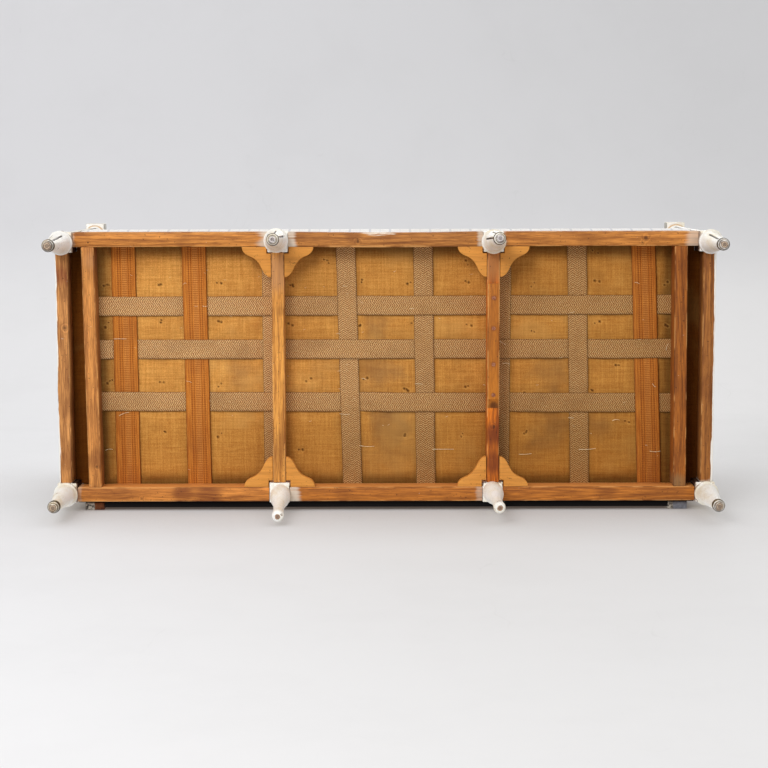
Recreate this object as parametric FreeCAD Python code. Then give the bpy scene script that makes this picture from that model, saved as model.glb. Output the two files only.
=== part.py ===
import FreeCAD, Part
import math
import os

# A long box sofa on eight turned legs, in millimetres, standing upright.
# X runs along the sofa, -Y is its front, Z is up, and the floor is Z = 0 under its middle.

# Overall layout
leg_span = 1800.0
middle_leg_span = 602.0
leg_depth = 706.0
underframe_height = 237.0
overall_height = 888.0
cut_overrun = 5.0
soft_gap = 0.5

# Square blocks that the legs are turned from
block_width = 56.0
post_block_rise = 8.0

# Rails of the seat frame
rail_height = 68.0
end_rail_thickness = 41.0
rear_rail_setback = 3.0
side_rail_thickness = 36.0
side_rail_setback = 6.0
side_gap = 42.0
inner_rail_thickness = 36.0
left_inner_rail_skew = 10.0
right_inner_rail_skew = 5.0
cross_bar_thickness = 35.0
tenon_thickness = 12.0
tenon_length = 18.0
tenon_shoulder = 9.0
joint_clearance = 0.2

# Turned legs with a bronzed ring over the foot
foot_radius = 14.0
foot_height = 13.0
ring_radius = 17.0
ring_height = 17.0
ankle_radius = 14.5
taper_radius = 30.0
taper_top = 198.0
disc_radius = 34.0
disc_height = 20.0
disc_cove = 6.0
neck_radius = 26.5

# Plain replacement legs in the middle of the rear row
plain_foot_radius = 16.5
plain_foot_height = 22.0
plain_neck_radius = 14.0
plain_neck_height = 78.0
plain_bulb_radius = 28.0
plain_bulb_height = 196.0

# Each middle leg is set a little off its block's middle, and its foot has wandered from there
front_left_shift_x = -3.0
front_left_shift_y = -4.0
front_left_lean_x = 3.0
front_left_lean_y = -12.0
front_right_shift_x = -2.0
front_right_shift_y = 1.0
front_right_lean_x = 5.5
front_right_lean_y = -19.0
rear_left_shift_x = 3.0
rear_left_shift_y = 2.0
rear_left_lean_x = 5.0
rear_left_lean_y = 23.0
rear_right_shift_x = -1.0
rear_right_shift_y = -4.0
rear_right_lean_x = 7.0
rear_right_lean_y = 7.0

# Narrow stopped flutes
flute_width = 4.6
flute_depth = 3.0
flute_low = 48.0
flute_high = 160.0
flute_step_deg = 60.0
column_flute_low = 390.0
column_flute_high = 790.0

# Round columns at the front corners
column_base_radius = 27.0
column_base_height = 14.0
column_radius = 25.5
column_ring_radius = 31.5
column_ring_height = 11.0
top_block_height = 54.0
top_block_overhang = 8.0
top_block_chamfer = 3.0

# Repair of the right cross bar
repair_length = 350.0
repair_thickness = 13.0
repair_bevel = 26.0
repair_inset = 1.0
repair_distance = 88.0

# Curved corner pieces beside the cross bars
gusset_along_rail = 82.0
gusset_along_bar = 86.0
gusset_thickness = 22.0
gusset_notch_gap = 2.5
gusset_side_gap = 1.2
gusset_recess = 1.5

# Frames of the sides and the back
top_rail_width = 42.0
top_rail_height = 38.0
top_rail_drop = 4.0
top_rail_round = 11.0
top_rail_quirk = 3.0
tacking_rail_height = 40.0
tacking_rail_rise = 40.0
upright_width = 40.0
rear_batten_width = 55.0
rear_batten_thickness = 24.0
rear_batten_rise = 17.0
rear_batten_drop = 14.0
rear_batten_round = 3.0

# Webbing under the seat: jute straps, and three wider rust straps
strap_thickness = 2.2
strap_gap = 0.3
jute_width = 55.0
rust_width = 69.0
strap_margin = 8.0
strap_end_margin = 10.0
long_strap_shares = (-0.500, -0.135, 0.313)
long_drift_shares = (-0.0015, 0.0006, 0.0043)
short_strap_shares = (-0.9127, -0.6640, -0.3970, -0.1291, 0.1360, 0.4025, 0.6761, 0.9151)
rust_places = (0, 1, 7)
short_drift_shares = (0.0086, 0.0136, 0.0043, 0.0257, 0.0128, -0.0057, 0.0200, 0.0371)

# Cloth and padding
cloth_thickness = 1.3
seat_top = 446.0
seat_crown = 26.0
seat_end_crown = 12.0
seat_front_bulge = 7.0
seat_nose_radius = 30.0
seat_side_pinch = 10.0
back_pad_depth = 62.0
side_pad_depth = 45.0
pad_edge_depth = 24.0
pad_pinch = 9.0
outer_cloth_overlap = 16.0
back_padding_depth = 19.0
back_padding_round = 5.0

# Places worked out from the sizes above
half_block = block_width / 2
rear_overhang = half_block + rear_batten_thickness
front_overhang = half_block + top_block_overhang
front_leg_y = -(leg_depth + rear_overhang - front_overhang) / 2
rear_leg_y = front_leg_y + leg_depth
corner_leg_x = leg_span / 2
middle_leg_x = middle_leg_span / 2
seat_frame_top = underframe_height + rail_height
post_block_top = seat_frame_top + post_block_rise
front_rail_front = front_leg_y - half_block
front_rail_back = front_rail_front + end_rail_thickness
rear_rail_back = rear_leg_y + half_block - rear_rail_setback
rear_rail_front = rear_rail_back - end_rail_thickness
side_rail_outer = corner_leg_x + half_block - side_rail_setback
side_rail_inner = side_rail_outer - side_rail_thickness
inner_rail_outer = side_rail_inner - side_gap
inner_rail_inner = inner_rail_outer - inner_rail_thickness
top_block_bottom = overall_height - top_block_height
top_rail_bottom = overall_height - top_rail_drop - top_rail_height
tacking_rail_bottom = seat_frame_top + tacking_rail_rise
burlap_bottom = seat_frame_top + 2 * (strap_thickness + strap_gap)
burlap_top = burlap_bottom + cloth_thickness
pad_bottom = burlap_top + soft_gap
pad_top = top_rail_bottom - soft_gap
back_frame_front = rear_rail_front
back_frame_back = rear_leg_y + half_block
outer_cloth_front = back_frame_back + joint_clearance
outer_cloth_back = outer_cloth_front + cloth_thickness
batten_front = outer_cloth_back + joint_clearance
batten_back = back_frame_back + rear_batten_thickness
batten_middle = (inner_rail_outer + inner_rail_inner) / 2
batten_bottom = underframe_height + rear_batten_rise
batten_top = overall_height - rear_batten_drop
seat_rear = back_frame_front - soft_gap - back_pad_depth - soft_gap
side_pad_back = side_rail_inner - soft_gap
side_pad_front = side_pad_back - side_pad_depth
seat_half_width = side_pad_front - soft_gap


def vec(x, y, z):
    return FreeCAD.Vector(x, y, z)


def board(x0, x1, y0, y1, z0, z1):
    """A sawn board between two corners, whichever way round they are given."""
    low = vec(min(x0, x1), min(y0, y1), min(z0, z1))
    return Part.makeBox(abs(x1 - x0), abs(y1 - y0), abs(z1 - z0), low)


def outline(points, closed=True):
    """Join the points with straight edges, or with an arc where a point is a (middle, end) pair."""
    edges = []
    first = points[0]
    here = first
    for step in points[1:]:
        if isinstance(step, tuple):
            middle, end = step
            edges.append(Part.Arc(here, middle, end).toShape())
        else:
            end = step
            edges.append(Part.LineSegment(here, end).toShape())
        here = end
    if closed and here.distanceToPoint(first) > 0:
        edges.append(Part.LineSegment(here, first).toShape())
    return Part.Wire(edges)


def prism(points, way):
    return Part.Face(outline(points)).extrude(way)


def fused(shapes):
    body = shapes[0]
    for other in shapes[1:]:
        body = body.fuse(other)
    return body.removeSplitter()


def swapped(shape):
    """The same piece for the other end of the sofa."""
    return shape.mirror(vec(0, 0, 0), vec(1, 0, 0))


def save(name, shape):
    shape.exportStep("parts/" + name + ".step")


def save_pair(name, left_shape):
    save(name + "_left", left_shape)
    save(name + "_right", swapped(left_shape))


# Turned work

def turned(points):
    """Spin an outline of (radius, height) points about the Z axis."""
    placed = [vec(radius, 0, height) for radius, height in points]
    return Part.Face(outline(placed)).revolve(vec(0, 0, 0), vec(0, 0, 1), 360)


ring_top = foot_height + ring_height


def ringed_leg():
    """Foot, bronzed ring, long taper, disc and neck, up to the underside of the block."""
    disc_low = taper_top + disc_cove
    disc_top = taper_top + disc_height
    return turned([
        (0, 0),
        (foot_radius, 0),
        (foot_radius, foot_height),
        (ring_radius, foot_height + ring_height / 3),
        (ring_radius, foot_height + ring_height * 2 / 3),
        (ankle_radius, ring_top),
        (taper_radius, taper_top),
        (disc_radius, disc_low),
        (disc_radius, disc_top),
        (neck_radius, disc_top),
        (neck_radius, underframe_height),
        (0, underframe_height),
    ])


def plain_leg():
    """The simpler leg: a round foot, a slim neck and a bulb under the block."""
    bulb_top = (plain_bulb_height + underframe_height) / 2
    return turned([
        (0, 0),
        (plain_foot_radius, 0),
        (plain_foot_radius, plain_foot_height),
        (plain_neck_radius, plain_neck_height),
        (plain_bulb_radius, plain_bulb_height),
        (plain_bulb_radius, bulb_top),
        (neck_radius, underframe_height),
        (0, underframe_height),
    ])


def flute(low_radius, low, high_radius, high, angle_deg):
    """A narrow cutter with its floor along the slope between two heights."""
    half = flute_width / 2
    low_floor = low_radius - flute_depth
    high_floor = high_radius - flute_depth
    outside = high_radius + cut_overrun
    side = [
        vec(low_floor, -half, low),
        vec(high_floor, -half, high),
        vec(outside, -half, high),
        vec(outside, -half, low),
    ]
    cutter = prism(side, vec(0, flute_width, 0))
    cutter.rotate(vec(0, 0, 0), vec(0, 0, 1), angle_deg)
    return cutter


def taper_radius_at(height):
    share = (height - ring_top) / (taper_top - ring_top)
    return ankle_radius + (taper_radius - ankle_radius) * share


def fluted_leg(angles_deg):
    low_radius = taper_radius_at(flute_low)
    high_radius = taper_radius_at(flute_high)
    cutters = [flute(low_radius, flute_low, high_radius, flute_high, a) for a in angles_deg]
    return ringed_leg().cut(cutters)


def fluted_column(angles_deg):
    """The front corner column from the seat block up to its square top block."""
    base_top = post_block_top + column_base_height
    ring_bottom = top_block_bottom - column_ring_height
    shaft = turned([
        (0, post_block_top),
        (column_base_radius, post_block_top),
        (column_base_radius, base_top),
        (column_radius, base_top),
        (column_radius, ring_bottom),
        (column_ring_radius, ring_bottom),
        (column_ring_radius, top_block_bottom),
        (0, top_block_bottom),
    ])
    cutters = [
        flute(column_radius, column_flute_low, column_radius, column_flute_high, a)
        for a in angles_deg
    ]
    return shaft.cut(cutters)


def mortise(x0, x1, y0, y1):
    """The pocket for a rail's tenon, with its clearance, through the block's height of the tenon."""
    low = underframe_height + tenon_shoulder - joint_clearance
    high = seat_frame_top - tenon_shoulder + joint_clearance
    return board(x0, x1, y0, y1, low, high)


def end_rail_mortise(direction, rail_middle_y):
    """The pocket in a block for a front or rear rail, on its +X side (1) or its -X side (-1)."""
    half = tenon_thickness / 2 + joint_clearance
    deep = half_block - tenon_length - joint_clearance
    mouth = half_block + cut_overrun
    return mortise(direction * deep, direction * mouth, rail_middle_y - half, rail_middle_y + half)


def side_mortise(direction, rail_middle_x, width):
    """The pocket in a block for a side rail or cross bar, on its +Y side (1) or its -Y side (-1)."""
    half = width / 2 + joint_clearance
    deep = half_block - tenon_length - joint_clearance
    mouth = half_block + cut_overrun
    return mortise(rail_middle_x - half, rail_middle_x + half, direction * deep, direction * mouth)


front_tenon_y = (front_rail_front + front_rail_back) / 2 - front_leg_y
rear_tenon_y = (rear_rail_front + rear_rail_back) / 2 - rear_leg_y
side_tenon_x = (side_rail_outer + side_rail_inner) / 2 - corner_leg_x


def flute_angles(first_deg, count):
    """Image angles count from +X towards the front, so they turn the other way in plan."""
    return [-(first_deg + flute_step_deg * n) for n in range(count)]


left_corner_flute_deg = 57.0
left_middle_flute_deg = 24.0
right_middle_flute_deg = 49.0
rear_corner_flute_deg = 161.0
front_flute_count = 3
rear_flute_count = 2


def front_corner_post():
    """Leg, block, fluted column and top block in one length of wood; the left one."""
    angles = flute_angles(left_corner_flute_deg, front_flute_count)
    block = board(-half_block, half_block, -half_block, half_block, underframe_height, post_block_top)
    top = board(
        -half_block, half_block, -half_block - top_block_overhang, half_block,
        top_block_bottom, overall_height,
    )
    top_edges = [e for e in top.Edges if min(v.Z for v in e.Vertexes) > top_block_bottom]
    top = top.makeChamfer(top_block_chamfer, top_edges)
    post = fused([fluted_leg(angles), block, fluted_column(angles), top])
    post = post.cut([
        end_rail_mortise(1, front_tenon_y),
        side_mortise(1, -side_tenon_x, tenon_thickness),
    ])
    return post.translated(vec(-corner_leg_x, front_leg_y, 0))


def rear_corner_post():
    """Leg, block and square back post in one length of wood; the left one."""
    angles = flute_angles(rear_corner_flute_deg, rear_flute_count)
    stem = board(-half_block, half_block, -half_block, half_block, underframe_height, overall_height)
    top_edges = [e for e in stem.Edges if min(v.Z for v in e.Vertexes) > underframe_height]
    stem = stem.makeChamfer(top_block_chamfer, top_edges)
    post = fused([fluted_leg(angles), stem])
    post = post.cut([
        end_rail_mortise(1, rear_tenon_y),
        side_mortise(-1, -side_tenon_x, tenon_thickness),
    ])
    return post.translated(vec(-corner_leg_x, rear_leg_y, 0))


def leaning(leg, lean_x, lean_y):
    """Tip a leg so that its foot moves by that much along X and Y, then level its foot on the floor."""
    angle = math.degrees(math.atan2(math.hypot(lean_x, lean_y), underframe_height))
    longer = leg.fuse(Part.makeCylinder(foot_radius, foot_height, vec(0, 0, -foot_height)))
    longer.rotate(vec(0, 0, underframe_height), vec(lean_y, -lean_x, 0), angle)
    reach = block_width
    below = board(-reach, reach, -reach, reach, -underframe_height, 0)
    above = board(-reach, reach, -reach, reach, underframe_height, seat_frame_top)
    return longer.removeSplitter().cut([below, above])


def middle_leg(leg, shift, lean, inward, tenon_y):
    """A middle leg with its own block, pocketed for both rails and the cross bar."""
    block = board(-half_block, half_block, -half_block, half_block, underframe_height, seat_frame_top)
    placed = leaning(leg, *lean).translated(vec(*shift, 0))
    whole = fused([placed, block])
    return whole.cut([
        end_rail_mortise(1, tenon_y),
        end_rail_mortise(-1, tenon_y),
        side_mortise(inward, 0, tenon_thickness),
    ])


def legs_and_posts():
    """The middle legs of a row share a node, as two separate solids."""
    save_pair("front_corner_post", front_corner_post())
    save_pair("rear_corner_post", rear_corner_post())
    front = []
    for x, first, shift, lean in (
        (-middle_leg_x, left_middle_flute_deg,
         (front_left_shift_x, front_left_shift_y), (front_left_lean_x, front_left_lean_y)),
        (middle_leg_x, right_middle_flute_deg,
         (front_right_shift_x, front_right_shift_y), (front_right_lean_x, front_right_lean_y)),
    ):
        turned_part = fluted_leg(flute_angles(first, front_flute_count))
        leg = middle_leg(turned_part, shift, lean, 1, front_tenon_y)
        front.append(leg.translated(vec(x, front_leg_y, 0)))
    save("front_middle_legs", Part.makeCompound(front))
    rear = []
    for x, shift, lean in (
        (-middle_leg_x, (rear_left_shift_x, rear_left_shift_y), (rear_left_lean_x, rear_left_lean_y)),
        (middle_leg_x, (rear_right_shift_x, rear_right_shift_y), (rear_right_lean_x, rear_right_lean_y)),
    ):
        leg = middle_leg(plain_leg(), shift, lean, -1, rear_tenon_y)
        rear.append(leg.translated(vec(x, rear_leg_y, 0)))
    save("rear_middle_legs", Part.makeCompound(rear))


# Rails of the seat frame

def rail_with_tenons(x0, x1, y0, y1):
    """A rail along X with a tenon on each end."""
    middle = (y0 + y1) / 2
    half = tenon_thickness / 2
    low = underframe_height + tenon_shoulder
    high = seat_frame_top - tenon_shoulder
    rail = board(x0, x1, y0, y1, underframe_height, seat_frame_top)
    tongue = board(x0 - tenon_length, x1 + tenon_length, middle - half, middle + half, low, high)
    return rail.fuse(tongue)


def rail_across(x0, x1, y0, y1):
    """The same rail along Y."""
    middle = (x0 + x1) / 2
    half = tenon_thickness / 2
    low = underframe_height + tenon_shoulder
    high = seat_frame_top - tenon_shoulder
    rail = board(x0, x1, y0, y1, underframe_height, seat_frame_top)
    tongue = board(middle - half, middle + half, y0 - tenon_length, y1 + tenon_length, low, high)
    return rail.fuse(tongue)


def end_rails():
    spans = (
        ("left", -corner_leg_x + half_block, -middle_leg_x - half_block),
        ("centre", -middle_leg_x + half_block, middle_leg_x - half_block),
        ("right", middle_leg_x + half_block, corner_leg_x - half_block),
    )
    for place, x0, x1 in spans:
        save("front_rail_" + place, rail_with_tenons(x0, x1, front_rail_front, front_rail_back))
        save("rear_rail_" + place, rail_with_tenons(x0, x1, rear_rail_front, rear_rail_back))


def inner_side_rail(direction, skew):
    """The rail that carries the webbing's ends; its rear end lies skew to +X of its front end."""
    outer = direction * inner_rail_outer
    inner = direction * inner_rail_inner
    corners = [
        vec(outer - skew / 2, front_rail_back, underframe_height),
        vec(inner - skew / 2, front_rail_back, underframe_height),
        vec(inner + skew / 2, rear_rail_front, underframe_height),
        vec(outer + skew / 2, rear_rail_front, underframe_height),
    ]
    return prism(corners, vec(0, 0, rail_height))


def side_rails():
    side = rail_across(
        -side_rail_outer, -side_rail_inner, front_leg_y + half_block, rear_leg_y - half_block,
    )
    save_pair("side_rail", side)
    save("inner_side_rail_left", inner_side_rail(-1, left_inner_rail_skew))
    save("inner_side_rail_right", inner_side_rail(1, right_inner_rail_skew))


def cross_bars():
    half = cross_bar_thickness / 2
    bar = rail_across(
        -middle_leg_x - half, -middle_leg_x + half, front_leg_y + half_block, rear_leg_y - half_block,
    )
    save_pair("cross_bar", bar)
    side = middle_leg_x - half + repair_inset
    bottom = underframe_height - repair_thickness
    start = front_leg_y + half_block + repair_distance
    end = start + repair_length
    outline_points = [
        vec(side, start, underframe_height),
        vec(side, start, bottom),
        vec(side, end - repair_bevel, bottom),
        vec(side, end, underframe_height),
    ]
    save("repair_batten", prism(outline_points, vec(cross_bar_thickness - 2 * repair_inset, 0, 0)))


# Curved corner pieces

gusset_outline_shares = ((0.98, 0.12), (0.82, 0.24), (0.51, 0.44), (0.29, 0.74), (0.17, 0.90))


def gusset():
    """One ogee corner piece for a corner at the origin: the rail runs along +X, the bar along +Y."""
    z = underframe_height + gusset_recess
    tip, bend_start, bend_middle, bend_end, shoulder = [
        vec(gusset_along_rail * along, gusset_along_bar * across, z)
        for along, across in gusset_outline_shares
    ]
    points = [
        vec(gusset_side_gap, 0, z),
        vec(gusset_along_rail, 0, z),
        tip,
        bend_start,
        (bend_middle, bend_end),
        shoulder,
        vec(gusset_side_gap, gusset_along_bar, z),
    ]
    return prism(points, vec(0, 0, gusset_thickness))


def gussets():
    """Two at each end of each cross bar, notched round the leg's block."""
    half_bar = cross_bar_thickness / 2
    notch_reach = half_block + gusset_notch_gap
    for bar_name, bar_x in (("left", -middle_leg_x), ("right", middle_leg_x)):
        for row, rail_y, inward, leg_y in (
            ("front", front_rail_back, 1, front_leg_y),
            ("rear", rear_rail_front, -1, rear_leg_y),
        ):
            for side_name, side in (("outer", -1), ("inner", 1)):
                outward = side if bar_x < 0 else -side
                piece = gusset()
                if outward < 0:
                    piece = piece.mirror(vec(0, 0, 0), vec(1, 0, 0))
                if inward < 0:
                    piece = piece.mirror(vec(0, 0, 0), vec(0, 1, 0))
                piece.translate(vec(bar_x + outward * half_bar, rail_y, 0))
                notch = board(
                    bar_x - notch_reach, bar_x + notch_reach, leg_y - notch_reach, leg_y + notch_reach,
                    underframe_height, seat_frame_top,
                )
                save("gusset_" + row + "_" + bar_name + "_" + side_name, piece.cut(notch))


# Frames of the sides and the back

def moulded_section():
    """Half of a top rail's section, as (across, up) from the middle of its underside."""
    half = top_rail_width / 2
    top = top_rail_height
    quirk_height = top - top_rail_round
    inner = half - top_rail_quirk
    bend = top_rail_round * (1 - math.sqrt(0.5))
    return half, inner, quirk_height, top, bend


def top_rail_profile(place):
    """The whole section, set by place(across, up): a flat top between two quarter rounds."""
    half, inner, quirk_height, top, bend = moulded_section()
    flat = inner - top_rail_round
    return [
        place(-half, 0),
        place(-half, quirk_height),
        place(-inner, quirk_height),
        (place(-inner + bend, top - bend), place(-flat, top)),
        place(flat, top),
        (place(inner - bend, top - bend), place(inner, quirk_height)),
        place(half, quirk_height),
        place(half, 0),
    ]


def side_frames():
    front = front_leg_y + half_block
    back = rear_leg_y - half_block

    def at_front(across, up):
        return vec(-corner_leg_x + across, front, top_rail_bottom + up)

    save_pair("side_top_rail", prism(top_rail_profile(at_front), vec(0, back - front, 0)))
    tacking = board(
        -side_rail_outer, -side_rail_inner, front_leg_y, back,
        tacking_rail_bottom, tacking_rail_bottom + tacking_rail_height,
    )
    column = Part.makeCylinder(
        column_base_radius + joint_clearance, overall_height, vec(-corner_leg_x, front_leg_y, 0),
    )
    stub = board(
        -side_rail_outer, -side_rail_inner, front_rail_front - cut_overrun, front_leg_y,
        seat_frame_top, overall_height,
    )
    save_pair("side_tacking_rail", tacking.cut([column, stub]))


def back_frame():
    left = -corner_leg_x + half_block
    right = -left
    middle_y = rear_leg_y

    def at_left(across, up):
        return vec(left, middle_y + across, top_rail_bottom + up)

    save("back_top_rail", prism(top_rail_profile(at_left), vec(right - left, 0, 0)))
    tacking = board(
        left, right, back_frame_front, back_frame_back,
        tacking_rail_bottom, tacking_rail_bottom + tacking_rail_height,
    )
    save("back_tacking_rail", tacking)
    upright = board(
        -middle_leg_x - upright_width / 2, -middle_leg_x + upright_width / 2,
        back_frame_front, back_frame_back,
        tacking_rail_bottom + tacking_rail_height, top_rail_bottom,
    )
    save_pair("back_upright", upright)
    batten = board(
        -batten_middle - rear_batten_width / 2, -batten_middle + rear_batten_width / 2,
        batten_front, batten_back, batten_bottom, batten_top,
    )
    outer_edges = [
        e for e in batten.Edges
        if min(v.Y for v in e.Vertexes) > batten_front
    ]
    save_pair("rear_batten", batten.makeChamfer(rear_batten_round, outer_edges))


# Webbing

def strap(width, start, end, crossings):
    """A strap along +Y that steps over or under the straps it crosses.

    crossings holds (place, half width of the other strap, step), where step is 1 above it and 0 below."""
    step_height = strap_thickness + strap_gap
    path = [(start, 0)]
    for place, half, step in crossings:
        path.append((place - half - strap_margin, step * step_height))
        path.append((place + half + strap_margin, step * step_height))
    path.append((end, 0))
    under = [vec(-width / 2, y, z) for y, z in path]
    over = [vec(-width / 2, y, z + strap_thickness) for y, z in reversed(path)]
    return prism(under + over, vec(width, 0, 0))


def drifted(piece, length, drift):
    """Turn a strap about its middle so that its far end lies drift to the +X side of its near end."""
    turned_piece = piece.copy()
    turned_piece.rotate(vec(0, 0, 0), vec(0, 0, 1), -math.degrees(math.atan2(drift, length)))
    return turned_piece


def webbing():
    """Three long straps and eight short ones, over and under in turn, tacked on top of the rails."""
    half_width = inner_rail_inner
    half_depth = (rear_rail_front - front_rail_back) / 2
    middle_y = (rear_rail_front + front_rail_back) / 2
    long_places = [middle_y + half_depth * share for share in long_strap_shares]
    short_places = [half_width * share for share in short_strap_shares]
    short_widths = [rust_width if n in rust_places else jute_width for n in range(len(short_places))]

    short_reach = half_depth + strap_end_margin
    for n, (x, width) in enumerate(zip(short_places, short_widths)):
        crossings = [
            (y - middle_y, jute_width / 2, 1 if (n + row) % 2 == 0 else 0)
            for row, y in enumerate(long_places)
        ]
        piece = strap(width, -short_reach, short_reach, crossings)
        piece = drifted(piece, 2 * short_reach, 2 * short_reach * short_drift_shares[n])
        piece.translate(vec(x, middle_y, seat_frame_top))
        kind = "rust_strap_" if n in rust_places else "short_jute_strap_"
        save(kind + str(n + 1), piece)

    long_reach = half_width + strap_end_margin
    for row, y in enumerate(long_places):
        crossings = [
            (x + drift * (y - middle_y), width / 2, 0 if (n + row) % 2 == 0 else 1)
            for n, (x, width, drift) in enumerate(zip(short_places, short_widths, short_drift_shares))
        ]
        piece = strap(jute_width, -long_reach, long_reach, crossings)
        piece.rotate(vec(0, 0, 0), vec(0, 0, 1), -90)
        piece = drifted(piece, 2 * long_reach, -2 * long_reach * long_drift_shares[row])
        piece.translate(vec(0, y, seat_frame_top))
        save("long_jute_strap_" + str(row + 1), piece)


# Cloth and padding

def burlap():
    sheet = board(
        -inner_rail_outer + strap_end_margin, inner_rail_outer - strap_end_margin,
        front_leg_y, rear_rail_front + strap_end_margin, burlap_bottom, burlap_top,
    )
    save("burlap_sheet", sheet)


def seat_section(x, back, top, crown):
    """The crowned body of the seat across one place, behind the rounded nose."""
    start = front_rail_front + seat_nose_radius / 2
    front_top = top - crown
    back_top = top - crown * 2 / 3
    return outline([
        vec(x, start, pad_bottom),
        vec(x, start, front_top),
        (vec(x, (start + back) / 2, top), vec(x, back, back_top)),
        vec(x, back - seat_side_pinch / 2, (pad_bottom + back_top) / 2),
        vec(x, back, pad_bottom),
    ])


def seat_nose():
    """The rounded front edge, with ears that reach in front of the corner columns' blocks."""
    front = front_rail_front - seat_front_bulge
    reach = corner_leg_x - half_block - soft_gap
    back = front_leg_y + half_block - soft_gap
    top = seat_top - seat_crown - seat_side_pinch
    bend = seat_nose_radius * (1 - math.sqrt(0.5))
    middle = (pad_bottom + top) / 2
    side = [
        vec(-reach, front + seat_front_bulge, pad_bottom),
        (
            vec(-reach, front + seat_front_bulge / 4, (pad_bottom + middle) / 2),
            vec(-reach, front, middle),
        ),
        vec(-reach, front, top - seat_nose_radius),
        (
            vec(-reach, front + bend, top - bend),
            vec(-reach, front + seat_nose_radius, top),
        ),
        vec(-reach, back, top),
        vec(-reach, back, pad_bottom),
    ]
    return prism(side, vec(2 * reach, 0, 0))


seat_station_shares = (-1.0, -0.94, -0.5, 0.0, 0.5, 0.94, 1.0)


def seat_pad():
    """A sprung seat, highest in the middle, with a rounded nose that reaches to the corner columns."""
    sections = []
    for share in seat_station_shares:
        fall = (seat_crown - seat_end_crown) * share ** 2
        end_fall = seat_side_pinch / 2 if abs(share) == 1 else 0
        top = seat_top - fall - end_fall
        sections.append(seat_section(seat_half_width * share, seat_rear, top, seat_crown - fall))
    body = Part.makeLoft(sections, True, False)
    save("seat_pad", body.fuse(seat_nose()).removeSplitter())


def padded_section(place, low, high, edge_depth, crown_depth):
    """A pad's section set by place(depth, height): flat behind, crowned in front, drawn in at the ends."""
    pinch = pad_pinch
    return outline([
        place(0, low),
        place(edge_depth - pinch, low),
        (place(edge_depth - pinch / 3, low + pinch / 3), place(edge_depth, low + pinch)),
        (place(crown_depth, (low + high) / 2), place(edge_depth, high - pinch)),
        (place(edge_depth - pinch / 3, high - pinch / 3), place(edge_depth - pinch, high)),
        place(0, high),
    ])


pad_station_shares = (0.0, 0.05, 0.95, 1.0)
pad_swell_shares = (0.35, 1.0, 1.0, 0.35)


def pad(start, end, full_depth, place):
    """Loft a pad from start to end; place(along, depth, height) sets each section's points."""
    sections = []
    for share, swell in zip(pad_station_shares, pad_swell_shares):
        along = start + (end - start) * share
        crown = pad_edge_depth + (full_depth - pad_edge_depth) * swell

        def at(depth, height, along=along):
            return place(along, depth, height)

        sections.append(padded_section(at, pad_bottom, pad_top, pad_edge_depth, crown))
    return Part.makeLoft(sections, True, True)


def back_and_side_pads():
    back_face = back_frame_front - soft_gap
    save("back_pad", pad(
        -seat_half_width, seat_half_width, back_pad_depth,
        lambda along, depth, height: vec(along, back_face - depth, height),
    ))
    start = front_leg_y + half_block + soft_gap
    end = rear_leg_y - half_block - soft_gap
    save_pair("side_pad", pad(
        start, end, side_pad_depth,
        lambda along, depth, height: vec(-side_pad_back + depth, along, height),
    ))


def outside_cloths():
    """The back's cloth is padded between the battens; the sides' cloths are flat sheets."""
    low = seat_frame_top - outer_cloth_overlap
    back_sheet = board(
        -corner_leg_x + half_block + soft_gap, corner_leg_x - half_block - soft_gap,
        outer_cloth_front, outer_cloth_back, low, top_rail_bottom - soft_gap,
    )
    half = batten_middle - rear_batten_width / 2 - soft_gap
    back = outer_cloth_front + back_padding_depth
    padding = board(-half, half, outer_cloth_front, back, batten_bottom, batten_top)
    outer_edges = [e for e in padding.Edges if min(v.Y for v in e.Vertexes) > outer_cloth_front]
    padding = padding.makeChamfer(back_padding_round, outer_edges)
    save("outside_back_cloth", back_sheet.fuse(padding))
    side = side_rail_outer + joint_clearance
    side_sheet = board(
        -side, -side - cloth_thickness,
        front_leg_y + half_block + soft_gap, rear_leg_y - half_block - soft_gap,
        low, top_rail_bottom - soft_gap,
    )
    save_pair("outside_side_cloth", side_sheet)


os.makedirs("parts", exist_ok=True)
legs_and_posts()
end_rails()
side_rails()
cross_bars()
gussets()
side_frames()
back_frame()
webbing()
burlap()
seat_pad()
back_and_side_pads()
outside_cloths()
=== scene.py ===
# %% [markdown]
# # A box sofa that lies on its back
# The sofa stands upright in its own frame, as the CAD model does: X runs along it, -Y is its front
# and Z is up. In the photograph it lies on its back, so the camera looks up along Z at the
# underside, and the studio floor is the plane behind the back.
# This first cell loads the CAD model and keeps the size of its box.

# %% Load the frame
import bpy
import bmesh
import math
import random
from mathutils import Matrix, Vector, noise


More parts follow.
